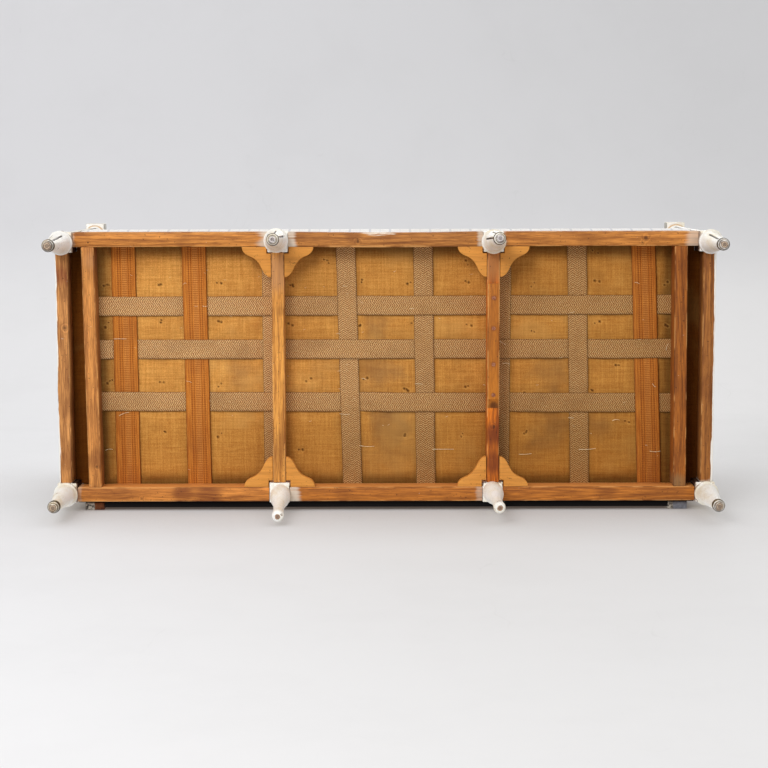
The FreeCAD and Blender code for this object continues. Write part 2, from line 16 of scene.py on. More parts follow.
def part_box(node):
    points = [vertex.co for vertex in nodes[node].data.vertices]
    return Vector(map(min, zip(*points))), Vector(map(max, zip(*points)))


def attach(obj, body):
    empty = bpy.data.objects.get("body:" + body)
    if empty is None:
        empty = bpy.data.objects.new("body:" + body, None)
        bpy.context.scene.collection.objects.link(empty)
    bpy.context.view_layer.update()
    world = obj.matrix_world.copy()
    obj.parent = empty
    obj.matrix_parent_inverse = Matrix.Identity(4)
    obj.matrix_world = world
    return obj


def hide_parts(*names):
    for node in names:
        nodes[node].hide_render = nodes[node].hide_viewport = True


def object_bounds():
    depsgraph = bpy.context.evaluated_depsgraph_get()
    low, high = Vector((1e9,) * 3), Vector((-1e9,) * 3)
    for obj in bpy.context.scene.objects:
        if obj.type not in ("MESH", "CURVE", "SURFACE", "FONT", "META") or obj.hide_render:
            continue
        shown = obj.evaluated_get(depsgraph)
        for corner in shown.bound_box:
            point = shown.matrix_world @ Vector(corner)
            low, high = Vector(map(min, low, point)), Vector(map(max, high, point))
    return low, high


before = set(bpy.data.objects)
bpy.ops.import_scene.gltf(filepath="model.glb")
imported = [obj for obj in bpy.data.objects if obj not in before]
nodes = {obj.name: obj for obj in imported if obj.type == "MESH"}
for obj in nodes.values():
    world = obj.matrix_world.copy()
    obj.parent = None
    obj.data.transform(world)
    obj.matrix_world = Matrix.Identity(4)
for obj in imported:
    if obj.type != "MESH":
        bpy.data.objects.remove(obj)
cad_low, cad_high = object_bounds()
print("CAD box in metres:", [round(v, 3) for v in cad_high - cad_low])

# %% [markdown]
# A bmesh is Blender's workbench for meshes. Every piece below is shaped on one, and this helper
# turns the finished bmesh into an object: it points the faces outwards, smooths the gentle edges,
# gives the finish, ties the piece to the CAD body, and hides the CAD nodes that it stands for.

# %% From a bmesh to a piece
ROOT = "root"


def make_piece(name, bm, finish, stands_for=(), smooth_deg=35):
    bmesh.ops.recalc_face_normals(bm, faces=bm.faces)
    mesh = bpy.data.meshes.new(name)
    bm.to_mesh(mesh)
    bm.free()
    for face in mesh.polygons:
        face.use_smooth = True
    mesh.set_sharp_from_angle(angle=math.radians(smooth_deg))
    mesh.materials.append(finish)
    piece = bpy.data.objects.new(name, mesh)
    bpy.context.scene.collection.objects.link(piece)
    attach(piece, ROOT)
    if stands_for:
        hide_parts(*stands_for)
    return piece


# %% [markdown]
# A finish is a small network of shader nodes. Sums are easier to read than links, so one class
# wraps a socket: `1 - mask` or `streaks * 0.4` adds the Math node by itself. Every other node comes
# from its `node` method, which takes the node's type, its settings and its inputs.

# %% Shader maths that reads like maths
class Wire:
    """One socket of a finish."""

    def __init__(self, tree, socket=None):
        self.tree = tree
        self.socket = socket

    def node(self, kind, settings=None, inputs=None, output=0):
        made = self.tree.nodes.new(kind)
        for name, value in (settings or {}).items():
            if name == "stops":
                for place, colour in value[2:]:
                    made.color_ramp.elements.new(place)
                for element, (place, colour) in zip(made.color_ramp.elements, sorted(value)):
                    element.position = place
                    element.color = colour
            else:
                setattr(made, name, value)
        for name, value in (inputs or {}).items():
            if isinstance(value, Wire):
                self.tree.links.new(value.socket, made.inputs[name])
            else:
                made.inputs[name].default_value = value
        return Wire(self.tree, made.outputs[output])

    def math(self, operation, *values):
        return self.node("ShaderNodeMath", {"operation": operation}, dict(enumerate(values)))

    def __add__(self, other):
        return self.math("ADD", self, other)

    def __sub__(self, other):
        return self.math("SUBTRACT", self, other)

    def __rsub__(self, other):
        return self.math("SUBTRACT", other, self)

    def __mul__(self, other):
        return self.math("MULTIPLY", self, other)

    def __truediv__(self, other):
        return self.math("DIVIDE", self, other)

    def __pow__(self, other):
        return self.math("POWER", self, other)

    __radd__ = __add__
    __rmul__ = __mul__


# %% [markdown]
# These few helpers are the words that all the finishes below are written in. Colours are given as
# the 0 to 255 values that a screen shows, and turned into the linear values that light works with.

# %% Words for finishes
def shade(red, green, blue):
    """A screen colour as linear red, green, blue and alpha."""
    linear = []
    for value in (red, green, blue):
        v = value / 255
        linear.append(v / 12.92 if v <= 0.04045 else ((v + 0.055) / 1.055) ** 2.4)
    return (*linear, 1.0)


def start_finish(name, roughness=0.6, specular=0.4):
    """A new material, the wire to build it with, and its shader."""
    material = bpy.data.materials.new(name)
    material.use_nodes = True
    shader = material.node_tree.nodes["Principled BSDF"]
    shader.inputs["Roughness"].default_value = roughness
    shader.inputs["Specular IOR Level"].default_value = specular
    return material, Wire(material.node_tree), shader


def feed(shader, **wires):
    for name, wire in wires.items():
        wire.tree.links.new(wire.socket, shader.inputs[name.replace("_", " ")])


def place_of(wire):
    """Where a point lies in the object's own frame, in metres."""
    return wire.node("ShaderNodeTexCoord", output="Object")


def split(vector):
    """The three numbers of a vector."""
    return [vector.node("ShaderNodeSeparateXYZ", None, {0: vector}, n) for n in range(3)]


def stretched(vector, factors, shift=(0, 0, 0)):
    scaled = vector.node("ShaderNodeVectorMath", {"operation": "MULTIPLY"}, {0: vector, 1: factors})
    return vector.node("ShaderNodeVectorMath", {"operation": "ADD"}, {0: scaled, 1: shift})


def cloudy(vector, scale=1.0, detail=3.0, rough=0.55, warp=0.0):
    """Soft noise from about 0 to 1."""
    inputs = {
        "Vector": vector, "Scale": scale, "Detail": detail, "Roughness": rough, "Distortion": warp,
    }
    return vector.node("ShaderNodeTexNoise", None, inputs)


def size_of(value):
    """The value without its sign."""
    return value.math("ABSOLUTE", value)


def rise(value, low, high):
    """0 below low, 1 above high, and a smooth slope between."""
    inputs = {"Value": value, "From Min": low, "From Max": high}
    return value.node("ShaderNodeMapRange", {"interpolation_type": "SMOOTHSTEP"}, inputs)


def blend(first, second, share):
    """From the first colour to the second, by share."""
    inputs = {0: share, 6: first, 7: second}
    return share.node("ShaderNodeMix", {"data_type": "RGBA"}, inputs, 2)


def ramp(value, *stops):
    return value.node("ShaderNodeValToRGB", {"stops": list(stops)}, {0: value})


def relief(height, depth, strength=1.0):
    """Small bumps that only the light sees."""
    inputs = {"Height": height, "Distance": depth, "Strength": strength}
    return height.node("ShaderNodeBump", None, inputs)


# %% [markdown]
# The underside is bare, aged softwood. Real boards show the growth rings as long wavy lines, with
# finer streaks and fibres between them. Noise that is squeezed across the grain and stretched along
# it gives the streaks and fibres, and a sine of slow noise gives the rings, so one function serves
# every board, whichever way it runs. A knot pushes the rings aside.

# %% The grain of a board
ALONG_X, ALONG_Y, ALONG_Z = 0, 1, 2
RING_PITCH = 0.075


def wave(value, pitch):
    """A smooth wave from 0 to 1 that repeats each pitch."""
    turns = value * (2 * math.pi / pitch)
    return turns.math("SINE", turns) * 0.5 + 0.5


def grained(at, along, across_scale, along_scale, shift):
    """Coordinates that are long along the grain."""
    factors = [across_scale] * 3
    factors[along] = along_scale
    return stretched(at, factors, shift)


def distance(axes, spot):
    """How far a point lies from a spot, seen from below."""
    squares = (axes[0] - spot[0]) ** 2 + (axes[1] - spot[1]) ** 2
    return squares ** 0.5


def grain_of(at, axes, along, shift, knots):
    """Streaks, fibres and growth rings, each from 0 to 1."""
    field = cloudy(grained(at, along, 13.0, 0.8, shift), 1.0, 1.5, 0.5, 0.35)
    for x, y, size in knots:
        field = field + (1 - rise(distance(axes, (x, y)), size * 0.2, size * 1.6)) * 0.11
    streaks = cloudy(grained(at, along, 110.0, 3.6, shift), 1.0, 5.0, 0.72)
    fibres = cloudy(grained(at, along, 420.0, 26.0, shift), 1.0, 2.0, 0.65)
    return streaks, fibres, wave(field, RING_PITCH)


# %% [markdown]
# Damp, dust and handling have left marks on each board in its own places: dark stains and knots.
# The long edges are darker in one stretch and paler in the next, partly grime and wear, and partly
# painted shade and a painted highlight. A mark is a spot with a size. The board's own streaks shift
# its border, so that it follows the grain and never looks like a disc.

# %% Stains, knots, and edges with wear and painted light
GRIMY_SHADED_EDGE, RUBBED_HIGHLIT_EDGE, KNOT_CORE = shade(84, 44, 20), shade(230, 172, 104), shade(74, 38, 16)


def spotted(colour, axes, streaks, run, stains, knots):
    """Stains are (x, y, size, colour, strength), and knots are (x, y, size)."""
    for x, y, size, stain, strength in stains:
        near = 1 - rise(distance(axes, (x, y)) + (run - 0.5) * size * 1.4, size * 0.3, size)
        colour = blend(colour, stain, near * strength)
    for x, y, size in knots:
        core = 1 - rise(distance(axes, (x, y)) + (streaks - 0.5) * size, size * 0.15, size * 0.8)
        colour = blend(colour, KNOT_CORE, core * 0.75)
    return colour


def edged(colour, at, axes, along, shift, streaks, rim):
    """The long edges of the underside; rim is (axis, middle, half width, slope)."""
    axis, middle, half, slope = rim
    off = size_of(axes[axis] - axes[along] * slope - middle) + (streaks - 0.5) * 0.004
    # The long edges are darker in one stretch and paler in the next: grime and wear, with painted
    # shade and a painted highlight.
    pale_wear_and_highlight = rise(cloudy(grained(at, along, 2.0, 11.0, shift), 1.0, 3.0, 0.6), 0.44, 0.58)
    at_face = 1 - rise(axes[2], 0.2400, 0.2430)
    near = rise(off, half - 0.0040, half - 0.0010)
    return blend(colour, blend(GRIMY_SHADED_EDGE, RUBBED_HIGHLIT_EDGE, pale_wear_and_highlight), near * at_face * 0.5)


# %% [markdown]
# The painter's brush ran over from the legs and the outer faces onto the bare boards, and the front
# rail is torn at its middle, down to pale splinters. Each of these marks is a mask that the streaks
# break up, so that the paint sits on the high fibres as dry brush marks do.

# %% Old paint on bare boards
PAINT_SMEAR, PAINT_EDGE = shade(216, 202, 184), shade(246, 242, 232)


def smeared(colour, axes, along, streaks, run, smears):
    """Brush marks across a board, each as (place along it, reach, strength)."""
    for place, reach, strength in smears:
        near = 1 - rise(size_of(axes[along] - place), reach * 0.35, reach)
        brushed = rise(streaks * 0.6 + run * 0.5 + near * 0.30, 0.66, 0.86) * near
        colour = blend(colour, PAINT_SMEAR, brushed * strength)
    return colour


def torn(colour, axes, streaks, fibres, run, scar):
    """A torn place; scar is (x, y, length, width)."""
    x, y, length, width = scar
    gap = (((axes[0] - x) / length) ** 2 + ((axes[1] - y) / width) ** 2) ** 0.5
    share = 1 - rise(gap + (streaks - 0.5) * 1.6 + (run - 0.5) * 1.2, 0.55, 0.8)
    splinters = ramp(fibres, (0.40, shade(176, 112, 58)), (0.56, shade(240, 228, 206)))
    return blend(colour, splinters, share)


def run_over(colour, axes, streaks, run, start):
    """The outer face's paint, lapping onto the underside from start outwards."""
    out = size_of(axes[0]) + (run - 0.5) * 0.016 + (streaks - 0.5) * 0.010
    return blend(colour, PAINT_EDGE, rise(out, start, start + 0.0012) * 0.95)


# %% [markdown]
# Now a board's finish can be put together, from the grain outwards: the wood's own tones, then
# broad dirt, dark runs, marks, edges and paint. The same streaks and fibres also make the small
# relief that catches the light, so that colour and relief agree.

# %% The finish of a board
def bare_wood(
    name, along, wood, seed, dirt=0.4, rim=None, knots=(), stains=(), smears=(), scar=None,
    paint_from=None, fresh_side=None, painted_side_shade=0.0,
):
    """A board's finish; wood is its light, middle and dark tone."""
    light, middle, dark = wood
    material, w, shader = start_finish(name, roughness=0.6, specular=0.25)
    at = place_of(w)
    axes = split(at)
    shift = (seed * 1.7, seed * 0.9, seed * 2.3)
    streaks, fibres, rings = grain_of(at, axes, along, shift, knots)
    tone = streaks * 0.52 + fibres * 0.40 + rings * 0.08
    colour = ramp(rise(tone, 0.30, 0.70), (0.0, dark), (1.0, light), (0.5, middle))
    broad = cloudy(stretched(at, (4.5, 4.5, 4.5), shift), 1.0, 4.0, 0.62)
    colour = blend(colour, shade(128, 70, 28), rise(broad, 0.48, 0.74) * dirt)
    run = cloudy(grained(at, along, 34.0, 3.2, shift), 1.0, 4.0, 0.65)
    colour = blend(colour, shade(98, 48, 20), rise(run, 0.58, 0.74) * dirt)
    colour = spotted(colour, axes, streaks, run, stains, knots)
    specks = rise(cloudy(stretched(at, (150, 150, 150), shift), 1.0, 2.0), 0.66, 0.72)
    colour = blend(colour, shade(66, 34, 16), specks * 0.6)
    # Painted light: the rail's face towards the front is made paler, as if lit more.
    if fresh_side:
        fresh = 1 - rise(axes[1], fresh_side, fresh_side + 0.0008)
        colour = blend(colour, shade(220, 146, 76), fresh * 0.8)
    # Painted shade on the board's sides, above its underside.
    if painted_side_shade:
        colour = blend(colour, shade(96, 52, 18), rise(axes[2], 0.2410, 0.2600) * painted_side_shade)
    if rim:
        colour = edged(colour, at, axes, along, shift, streaks, rim)
    if scar:
        colour = torn(colour, axes, streaks, fibres, run, scar)
    colour = smeared(colour, axes, along, streaks, run, smears)
    if paint_from:
        colour = run_over(colour, axes, streaks, run, paint_from)
    flecks = rise(cloudy(stretched(at, (120, 120, 120), shift), 1.0, 3.0, 0.6), 0.735, 0.765)
    colour = blend(colour, shade(232, 220, 200), flecks * 0.8)
    height = streaks * 0.8 + fibres * 0.5 + rings * 0.3
    feed(shader, Base_Color=colour, Roughness=0.5 + fibres * 0.25, Normal=relief(height, 0.0008, 0.7))
    return material


# %% [markdown]
# No two boards were cut from one tree. The front and rear rails run along X. Their tone, knots and
# stains are set board by board, and smears sit where the painted legs meet them. The rear rail's
# face towards the front is painted paler, as painted light on that face.

# %% The front and rear rails' finishes
BROWN_STAIN, RED_STAIN, RUST_STAIN = shade(104, 50, 18), shade(96, 34, 14), shade(120, 58, 26)
WEATHERED = shade(186, 132, 86)
RAIL_HALF, SIDE_RAIL_HALF = 0.0205, 0.018
REAR_RAIL_FACE = 0.3296


def tones(red, green, blue, spread=0.24):
    """A light, a middle and a dark tone about one colour."""
    return (
        shade(
            min(red * (1 + spread), 252), min(green * (1 + spread * 1.2), 240),
            blue * (1 + spread * 1.5),
        ),
        shade(red, green, blue),
        shade(red * (1 - spread * 1.2), green * (1 - spread * 1.5), blue * (1 - spread * 1.7)),
    )


def middle_of(node, axis):
    """The middle of a CAD node along one axis."""
    low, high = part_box(node)
    return (low[axis] + high[axis]) / 2


front_rim = (1, middle_of("front_rail_left", 1), RAIL_HALF, 0.0)
rear_rim = (1, middle_of("rear_rail_left", 1), RAIL_HALF, 0.0)
front_pine = bare_wood(
    "front_rail_pine", ALONG_X, tones(190, 121, 54), 1, 0.22, front_rim,
    knots=((0.724, -0.370, 0.010), (-0.828, -0.361, 0.005), (0.715, -0.358, 0.006)),
    stains=((-0.560, -0.360, 0.04, BROWN_STAIN, 0.25), (0.560, -0.375, 0.04, BROWN_STAIN, 0.25)),
    smears=((-0.301, 0.080, 0.9), (0.301, 0.056, 0.75), (0.872, 0.055, 0.6), (-0.885, 0.030, 0.5)),
)
front_centre_pine = bare_wood(
    "front_centre_pine", ALONG_X, tones(176, 113, 53), 9, 0.30, front_rim,
    knots=((-0.077, -0.364, 0.009), (-0.145, -0.380, 0.004)),
    stains=(
        (0.10, -0.37, 0.05, BROWN_STAIN, 0.3), (-0.09, -0.375, 0.03, BROWN_STAIN, 0.4),
        (0.0, -0.383, 0.03, BROWN_STAIN, 0.3),
    ),
    smears=((-0.273, 0.040, 0.9), (0.273, 0.030, 0.7)), scar=(-0.018, -0.386, 0.055, 0.011),
)
rear_left_pine = bare_wood(
    "rear_left_pine", ALONG_X, tones(191, 118, 51), 2, 0.25, rear_rim,
    knots=((-0.690, 0.362, 0.006), (-0.665, 0.366, 0.004)),
    stains=((-0.575, 0.345, 0.035, RED_STAIN, 0.5), (-0.500, 0.352, 0.045, RED_STAIN, 0.5)),
    smears=((-0.872, 0.02, 0.3),), fresh_side=REAR_RAIL_FACE,
)
rear_pine = bare_wood(
    "rear_rail_pine", ALONG_X, tones(172, 101, 36), 13, 0.25, rear_rim,
    knots=((0.030, 0.352, 0.004),),
    stains=((0.62, 0.35, 0.04, BROWN_STAIN, 0.3), (-0.12, 0.35, 0.04, BROWN_STAIN, 0.2)),
    smears=((-0.273, 0.048, 0.9), (0.273, 0.032, 0.4)), fresh_side=REAR_RAIL_FACE,
)
print("rails' middles at y =", round(front_rim[1], 4), "and", round(rear_rim[1], 4))

# %% [markdown]
# The side rails, the inner rails and the cross bars run along Y. The boards at the right end are
# darker than those at the left. The batten that mends the right bar is stained by rust round each
# screw, and its slanted end is painted dark as painted shade. Boards that nothing shows share one
# plain finish.

# %% The other boards' finishes
INNER_RAIL_X, BAR_X = 0.826, 0.301
BAR_HALF, BATTEN_HALF = 0.0175, 0.0165
SCREW_PLACES = (-0.205, -0.120, -0.019, 0.067)
side_middle = middle_of("side_rail_right", 0)
side_left_pine = bare_wood(
    "side_rail_left_pine", ALONG_Y, tones(187, 126, 69, 0.26), 3, 0.35,
    (0, -side_middle, SIDE_RAIL_HALF, 0.0), knots=((-0.897, -0.123, 0.011),),
    stains=(
        (-0.902, -0.27, 0.04, shade(120, 44, 26), 0.5), (-0.905, 0.10, 0.05, BROWN_STAIN, 0.3),
        (-0.905, 0.25, 0.05, BROWN_STAIN, 0.3),
    ),
    paint_from=0.9175,
)
side_right_pine = bare_wood(
    "side_rail_right_pine", ALONG_Y, tones(152, 94, 42, 0.26), 4, 0.35,
    (0, side_middle, SIDE_RAIL_HALF, 0.0),
    stains=((0.898, -0.30, 0.03, BROWN_STAIN, 0.4), (0.905, 0.05, 0.05, BROWN_STAIN, 0.3)),
    smears=((0.33, 0.03, 0.8),), paint_from=0.9155,
)
inner_left_pine = bare_wood(
    "inner_rail_left_pine", ALONG_Y, tones(195, 127, 63), 5, 0.25,
    (0, -INNER_RAIL_X, SIDE_RAIL_HALF, 0.0148), knots=((-0.815, 0.27, 0.007),),
    stains=(
        (-0.820, 0.25, 0.04, BROWN_STAIN, 0.5), (-0.812, 0.12, 0.05, BROWN_STAIN, 0.25),
        (-0.818, -0.31, 0.04, WEATHERED, 0.5),
    ),
    painted_side_shade=0.6,
)
inner_right_pine = bare_wood(
    "inner_rail_right_pine", ALONG_Y, tones(151, 85, 28), 6, 0.3,
    (0, INNER_RAIL_X, SIDE_RAIL_HALF, 0.0074),
    stains=(
        (0.825, -0.30, 0.04, BROWN_STAIN, 0.3), (0.825, 0.05, 0.04, BROWN_STAIN, 0.3),
        (0.826, 0.318, 0.035, shade(140, 116, 78), 0.5),
    ),
)
left_bar_pine = bare_wood(
    "left_bar_pine", ALONG_Y, tones(207, 138, 62), 7, 0.2, (0, -BAR_X, BAR_HALF, 0.0),
    stains=(
        (-0.301, -0.28, 0.07, WEATHERED, 0.7), (-0.292, -0.17, 0.02, BROWN_STAIN, 0.3),
        (-0.30, 0.22, 0.08, BROWN_STAIN, 0.35),
    ),
)
right_bar_pine = bare_wood(
    "right_bar_pine", ALONG_Y, tones(194, 102, 24, 0.30), 8, 0.3, (0, BAR_X, BAR_HALF, 0.0),
    knots=((0.303, 0.159, 0.009),),
    stains=(
        (0.314, 0.18, 0.05, RED_STAIN, 0.7), (0.312, 0.26, 0.05, RED_STAIN, 0.6),
        (0.301, -0.30, 0.09, shade(172, 112, 60), 0.8),
    ),
)
screw_stains = [(BAR_X, y, 0.010, RUST_STAIN, 0.5) for y in SCREW_PLACES]
batten_pine = bare_wood(
    "repair_pine", ALONG_Y, tones(182, 108, 34, 0.16), 10, 0.12, (0, BAR_X, BATTEN_HALF, 0.0),
    # After the rust stains comes painted shade on the slanted end.
    stains=screw_stains + [(BAR_X, 0.099, 0.020, shade(92, 48, 18), 0.8)],
)
hidden_pine = bare_wood("hidden_frame_pine", ALONG_X, tones(190, 118, 56), 11, 0.4)
gusset_pine = bare_wood("gusset_pine", ALONG_X, tones(213, 142, 61, 0.07), 12, 0.06)
print("bare wood finishes made")

# %% [markdown]
# A board is a cube that is stretched between two corners. Sawn and handled edges are never sharp,
# so they get a small bevel, which catches a thin line of light. The board is then cut across every
# few centimetres, and the cuts are moved in by fractions of a millimetre, because a planed board is
# never quite straight.

# %% Sawing a board
CUT_EVERY = 0.025


def board_bmesh(low, high, edge=0.0015, along=None, uneven=0.0, seed=1.0):
    """A bevelled board between two corners; along is its grain, if it is to be uneven."""
    bm = bmesh.new()
    bmesh.ops.create_cube(bm, size=1.0)
    size = [high[n] - low[n] for n in range(3)]
    middle = [(high[n] + low[n]) / 2 for n in range(3)]
    bmesh.ops.scale(bm, vec=size, verts=bm.verts)
    bmesh.ops.bevel(
        bm, geom=bm.edges[:], offset=edge, offset_type="OFFSET", affect="EDGES", segments=2,
        profile=0.5, material=-1,
    )
    if along is not None:
        normal = [0.0, 0.0, 0.0]
        normal[along] = 1.0
        cuts = int(size[along] / CUT_EVERY)
        for n in range(1, cuts):
            spot = [v * size[along] * (n / cuts - 0.5) for v in normal]
            everything = bm.verts[:] + bm.edges[:] + bm.faces[:]
            bmesh.ops.bisect_plane(bm, geom=everything, plane_co=spot, plane_no=normal)
        for v in bm.verts:
            for axis in range(3):
                if axis != along:
                    spot = (v.co[along] * 14, seed + axis, math.copysign(1, v.co[axis]))
                    share = 0.5 + 0.5 * noise.noise(Vector(spot))
                    v.co[axis] *= 1 - 2 * uneven * share / size[axis]
    bmesh.ops.translate(bm, vec=middle, verts=bm.verts)
    return bm


# %% [markdown]
# The CAD rails have tenons that sit inside the leg blocks. The boards here leave them out, because
# nothing shows them. Each stops a hair short of the block, which leaves the dark joint line of the
# real one. The inner side rails lie a little askew, and the front rail's middle length is bowed.

# %% The boards of the frame
TENON = 0.018
JOINT_GAP = 0.0009
UNEVEN = 0.0006
CENTRE_BOW = 0.0028
RAIL_EDGE, INNER_EDGE, BAR_EDGE = 0.0022, 0.0020, 0.0016


def board(node, finish, tenons_along=None, edge=0.0015, along=None, skew=0.0, bow=0.0):
    """A board for a CAD node; skew slides its rear end, and bow pushes its middle back."""
    low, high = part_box(node)
    if tenons_along is not None:
        low[tenons_along] += TENON + JOINT_GAP
        high[tenons_along] -= TENON + JOINT_GAP
    low.x, high.x = low.x + skew / 2, high.x - skew / 2
    bm = board_bmesh(low, high, edge, along, UNEVEN, low.x * 7 + low.y * 3)
    length_y, length_x = high.y - low.y, high.x - low.x
    for v in bm.verts:
        v.co.x += skew * ((v.co.y - low.y) / length_y - 0.5)
        v.co.y += bow * (1 - ((v.co.x - low.x) / length_x * 2 - 1) ** 2)
    return make_piece(node + "_board", bm, finish, [node], smooth_deg=50)


for place in ("left", "centre", "right"):
    pine, bow = (front_centre_pine, CENTRE_BOW) if place == "centre" else (front_pine, 0.0)
    board("front_rail_" + place, pine, ALONG_X, RAIL_EDGE, ALONG_X, bow=bow)
    pine = rear_left_pine if place == "left" else rear_pine
    board("rear_rail_" + place, pine, ALONG_X, RAIL_EDGE, ALONG_X)
for place, side_pine, inner_pine, bar_pine, skew in (
    ("left", side_left_pine, inner_left_pine, left_bar_pine, 0.010),
    ("right", side_right_pine, inner_right_pine, right_bar_pine, 0.005),
):
    board("side_rail_" + place, side_pine, ALONG_Y, RAIL_EDGE, ALONG_Y)
    board("inner_side_rail_" + place, inner_pine, None, INNER_EDGE, ALONG_Y, skew)
    board("cross_bar_" + place, bar_pine, ALONG_Y, BAR_EDGE, ALONG_Y)
    board("side_tacking_rail_" + place, hidden_pine)
    board("back_upright_" + place, hidden_pine)
board("back_tacking_rail", hidden_pine)
print("boards made")

# %% [markdown]
# The right cross bar has been mended with a batten that is screwed under it. Its far end was sawn
# off at a slant. The batten is a board whose end vertices are slid back, and each screw is a low
# turned head with a shallow dish in its face. The screws sit where the rust stains are.

# %% The repair batten and its screws
low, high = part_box("repair_batten")
SLANT_LENGTH = 0.026
bm = board_bmesh(low, high, 0.001)
for vertex in bm.verts:
    if vertex.co.y > high.y - 0.004 and vertex.co.z < (low.z + high.z) / 2:
        vertex.co.y -= SLANT_LENGTH
make_piece("repair_batten_board", bm, batten_pine, ["repair_batten"], 50)

steel, w, shader = start_finish("old_screw_steel", roughness=0.55)
rust = rise(cloudy(stretched(place_of(w), (400, 400, 400))), 0.42, 0.6)
rusty = blend(shade(168, 110, 78), shade(124, 64, 40), rust)
feed(shader, Base_Color=rusty, Roughness=0.5 + rust * 0.3)

screws = bmesh.new()
for screw_y in SCREW_PLACES:
    head = bmesh.ops.create_cone(
        screws, cap_ends=True, segments=24, radius1=0.0054, radius2=0.0044, depth=0.0010,
        matrix=Matrix.Translation((BAR_X, screw_y, low.z - 0.0001)),
    )
    top = min((f for v in head["verts"] for f in v.link_faces), key=lambda f: f.calc_center_median().z)
    bmesh.ops.inset_region(screws, faces=[top], thickness=0.0012, depth=-0.0002)
make_piece("repair_screw_heads", screws, steel, (), 40)
print("batten and", len(SCREW_PLACES), "screws made")

# %% [markdown]
# Eight ogee corner pieces stiffen the frame where the bars meet the rails. They are sawn from fresh
# pale wood, with the grain along the rail. The outline is drawn once, as a few points along a
# curve, extruded to its thickness, bevelled, and mirrored for the other corners. The corner at the
# leg is notched, so that the piece clears the leg's block.

# %% Ogee corner pieces
OGEE = (
    (0.0822, 0.0), (0.0818, 0.0050), (0.0800, 0.0105), (0.0768, 0.0155), (0.0722, 0.0200),
    (0.0650, 0.0242), (0.0560, 0.0280), (0.0490, 0.0320), (0.0425, 0.0370), (0.0372, 0.0430),
    (0.0328, 0.0495), (0.0288, 0.0570), (0.0255, 0.0640), (0.0215, 0.0712), (0.0172, 0.0770),
    (0.0120, 0.0816), (0.0060, 0.0845),
)
NOTCHED_CORNER = ((0.0012, 0.0848), (0.0012, 0.0190), (0.0135, 0.0190), (0.0135, 0.0))


def pushed_verts(made):
    """The vertices among the things that an extrusion has made."""
    return [v for v in made["geom"] if isinstance(v, bmesh.types.BMVert)]


def gusset(node):
    """A corner piece; away points from the bar along X, and inward from the rail along Y."""
    low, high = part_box(node)
    away = 1 if ("outer" in node) != (low.x < 0) else -1
    inward = 1 if "front" in node else -1
    corner_x = (low.x if away > 0 else high.x) - away * 0.0012
    corner_y = low.y if inward > 0 else high.y
    bm = bmesh.new()
    points = OGEE + NOTCHED_CORNER
    flat = [bm.verts.new((corner_x + away * p[0], corner_y + inward * p[1], low.z)) for p in points]
    bottom = bm.faces.new(flat)
    raised = bmesh.ops.extrude_face_region(bm, geom=[bottom])
    bmesh.ops.translate(bm, vec=(0, 0, high.z - low.z), verts=pushed_verts(raised))
    rims = [e for e in bm.edges if abs(e.verts[0].co.z - e.verts[1].co.z) < 1e-6]
    bmesh.ops.bevel(
        bm, geom=rims, offset=0.0012, offset_type="OFFSET", affect="EDGES", segments=2,
        profile=0.5, material=-1,
    )
    make_piece(node + "_ogee", bm, gusset_pine, [node], 40)


for name in sorted(nodes):
    if name.startswith("gusset_"):
        gusset(name)
print("corner pieces made")

# %% [markdown]
# The legs, columns and posts are turned from one length of wood and painted off-white. The foot's
# end is bare wood: end grain with faint rings, a darker rim, and on the ringed legs a bronzed ring
# above it. The mesh carries three numbers at each point, which the finish reads as attributes:
# `groove` says how deep in a flute it is, `proud` how exposed it is, and `reach` how far from the
# foot's middle.

# %% The bare end of a foot
def point_number(wire, name):
    """A number that the mesh carries at each point."""
    return wire.node("ShaderNodeAttribute", {"attribute_name": name}, None, "Fac")


def foot_end(colour, w, at, shift, patches, height, foot):
    """Bare end grain with a dark rim round it, and a bronzed ring where the leg has one."""
    reach = point_number(w, "reach")
    edge = foot["bare"]
    bare = 1 - rise(reach + (patches - 0.5) * 0.012, edge - 0.0008, edge + 0.0008)
    bare = bare * (1 - rise(height, 0.004, 0.005))
    grain = cloudy(stretched(at, (240, 240, 40), shift), 1.0, 3.0, 0.6)
    rings = grain * 0.7 + wave(reach, 0.0052) * 0.3
    end_grain = ramp(rings, (0.36, foot["dark"]), (0.62, foot["light"]))
    end_grain = blend(end_grain, shade(44, 32, 24), rise(grain, 0.57, 0.64) * 0.85)
    end_grain = blend(end_grain, shade(50, 36, 26), (1 - rise(reach, 0.0010, 0.0028)) * 0.8)
    colour = blend(colour, end_grain, bare * 0.95)
    foot_rim = rise(reach, edge + 0.0002, edge + 0.0010) * (1 - rise(height, 0.0125, 0.0130))
    outside = rise(reach + (patches - 0.5) * 0.004, foot["rim_end"], foot["rim_end"] + 0.0010)
    rim_tone = blend(shade(72, 54, 32), shade(146, 120, 80), rise(patches, 0.46, 0.64))
    colour = blend(colour, rim_tone, foot_rim * (1 - outside) * foot["rim"])
    if foot["ringed"]:
        worn_ring = rise(height, 0.0126, 0.0134) * (1 - rise(height, 0.0296, 0.0304))
        bronze = blend(shade(58, 46, 22), shade(132, 108, 64), rise(patches, 0.48, 0.66))
        colour = blend(colour, bronze, worn_ring)
    return colour


# %% [markdown]
# The blocks have marks of their own. Their faces inside the frame were never painted, and their bare
# wood is painted dark brown, as painted shade inside the frame. A brown seam of bare wood runs along
# the inner edge, and on top of each front column the square block is greyer, with a dark inner face
# that is painted shade. A thin gilded ring lies under it.

# %% The blocks' marks and the gilded ring
GILT_LOW, TOP_BLOCK_LOW = 0.823, 0.834
INSIDE_X, INSIDE_Y = 0.8870, 0.3485


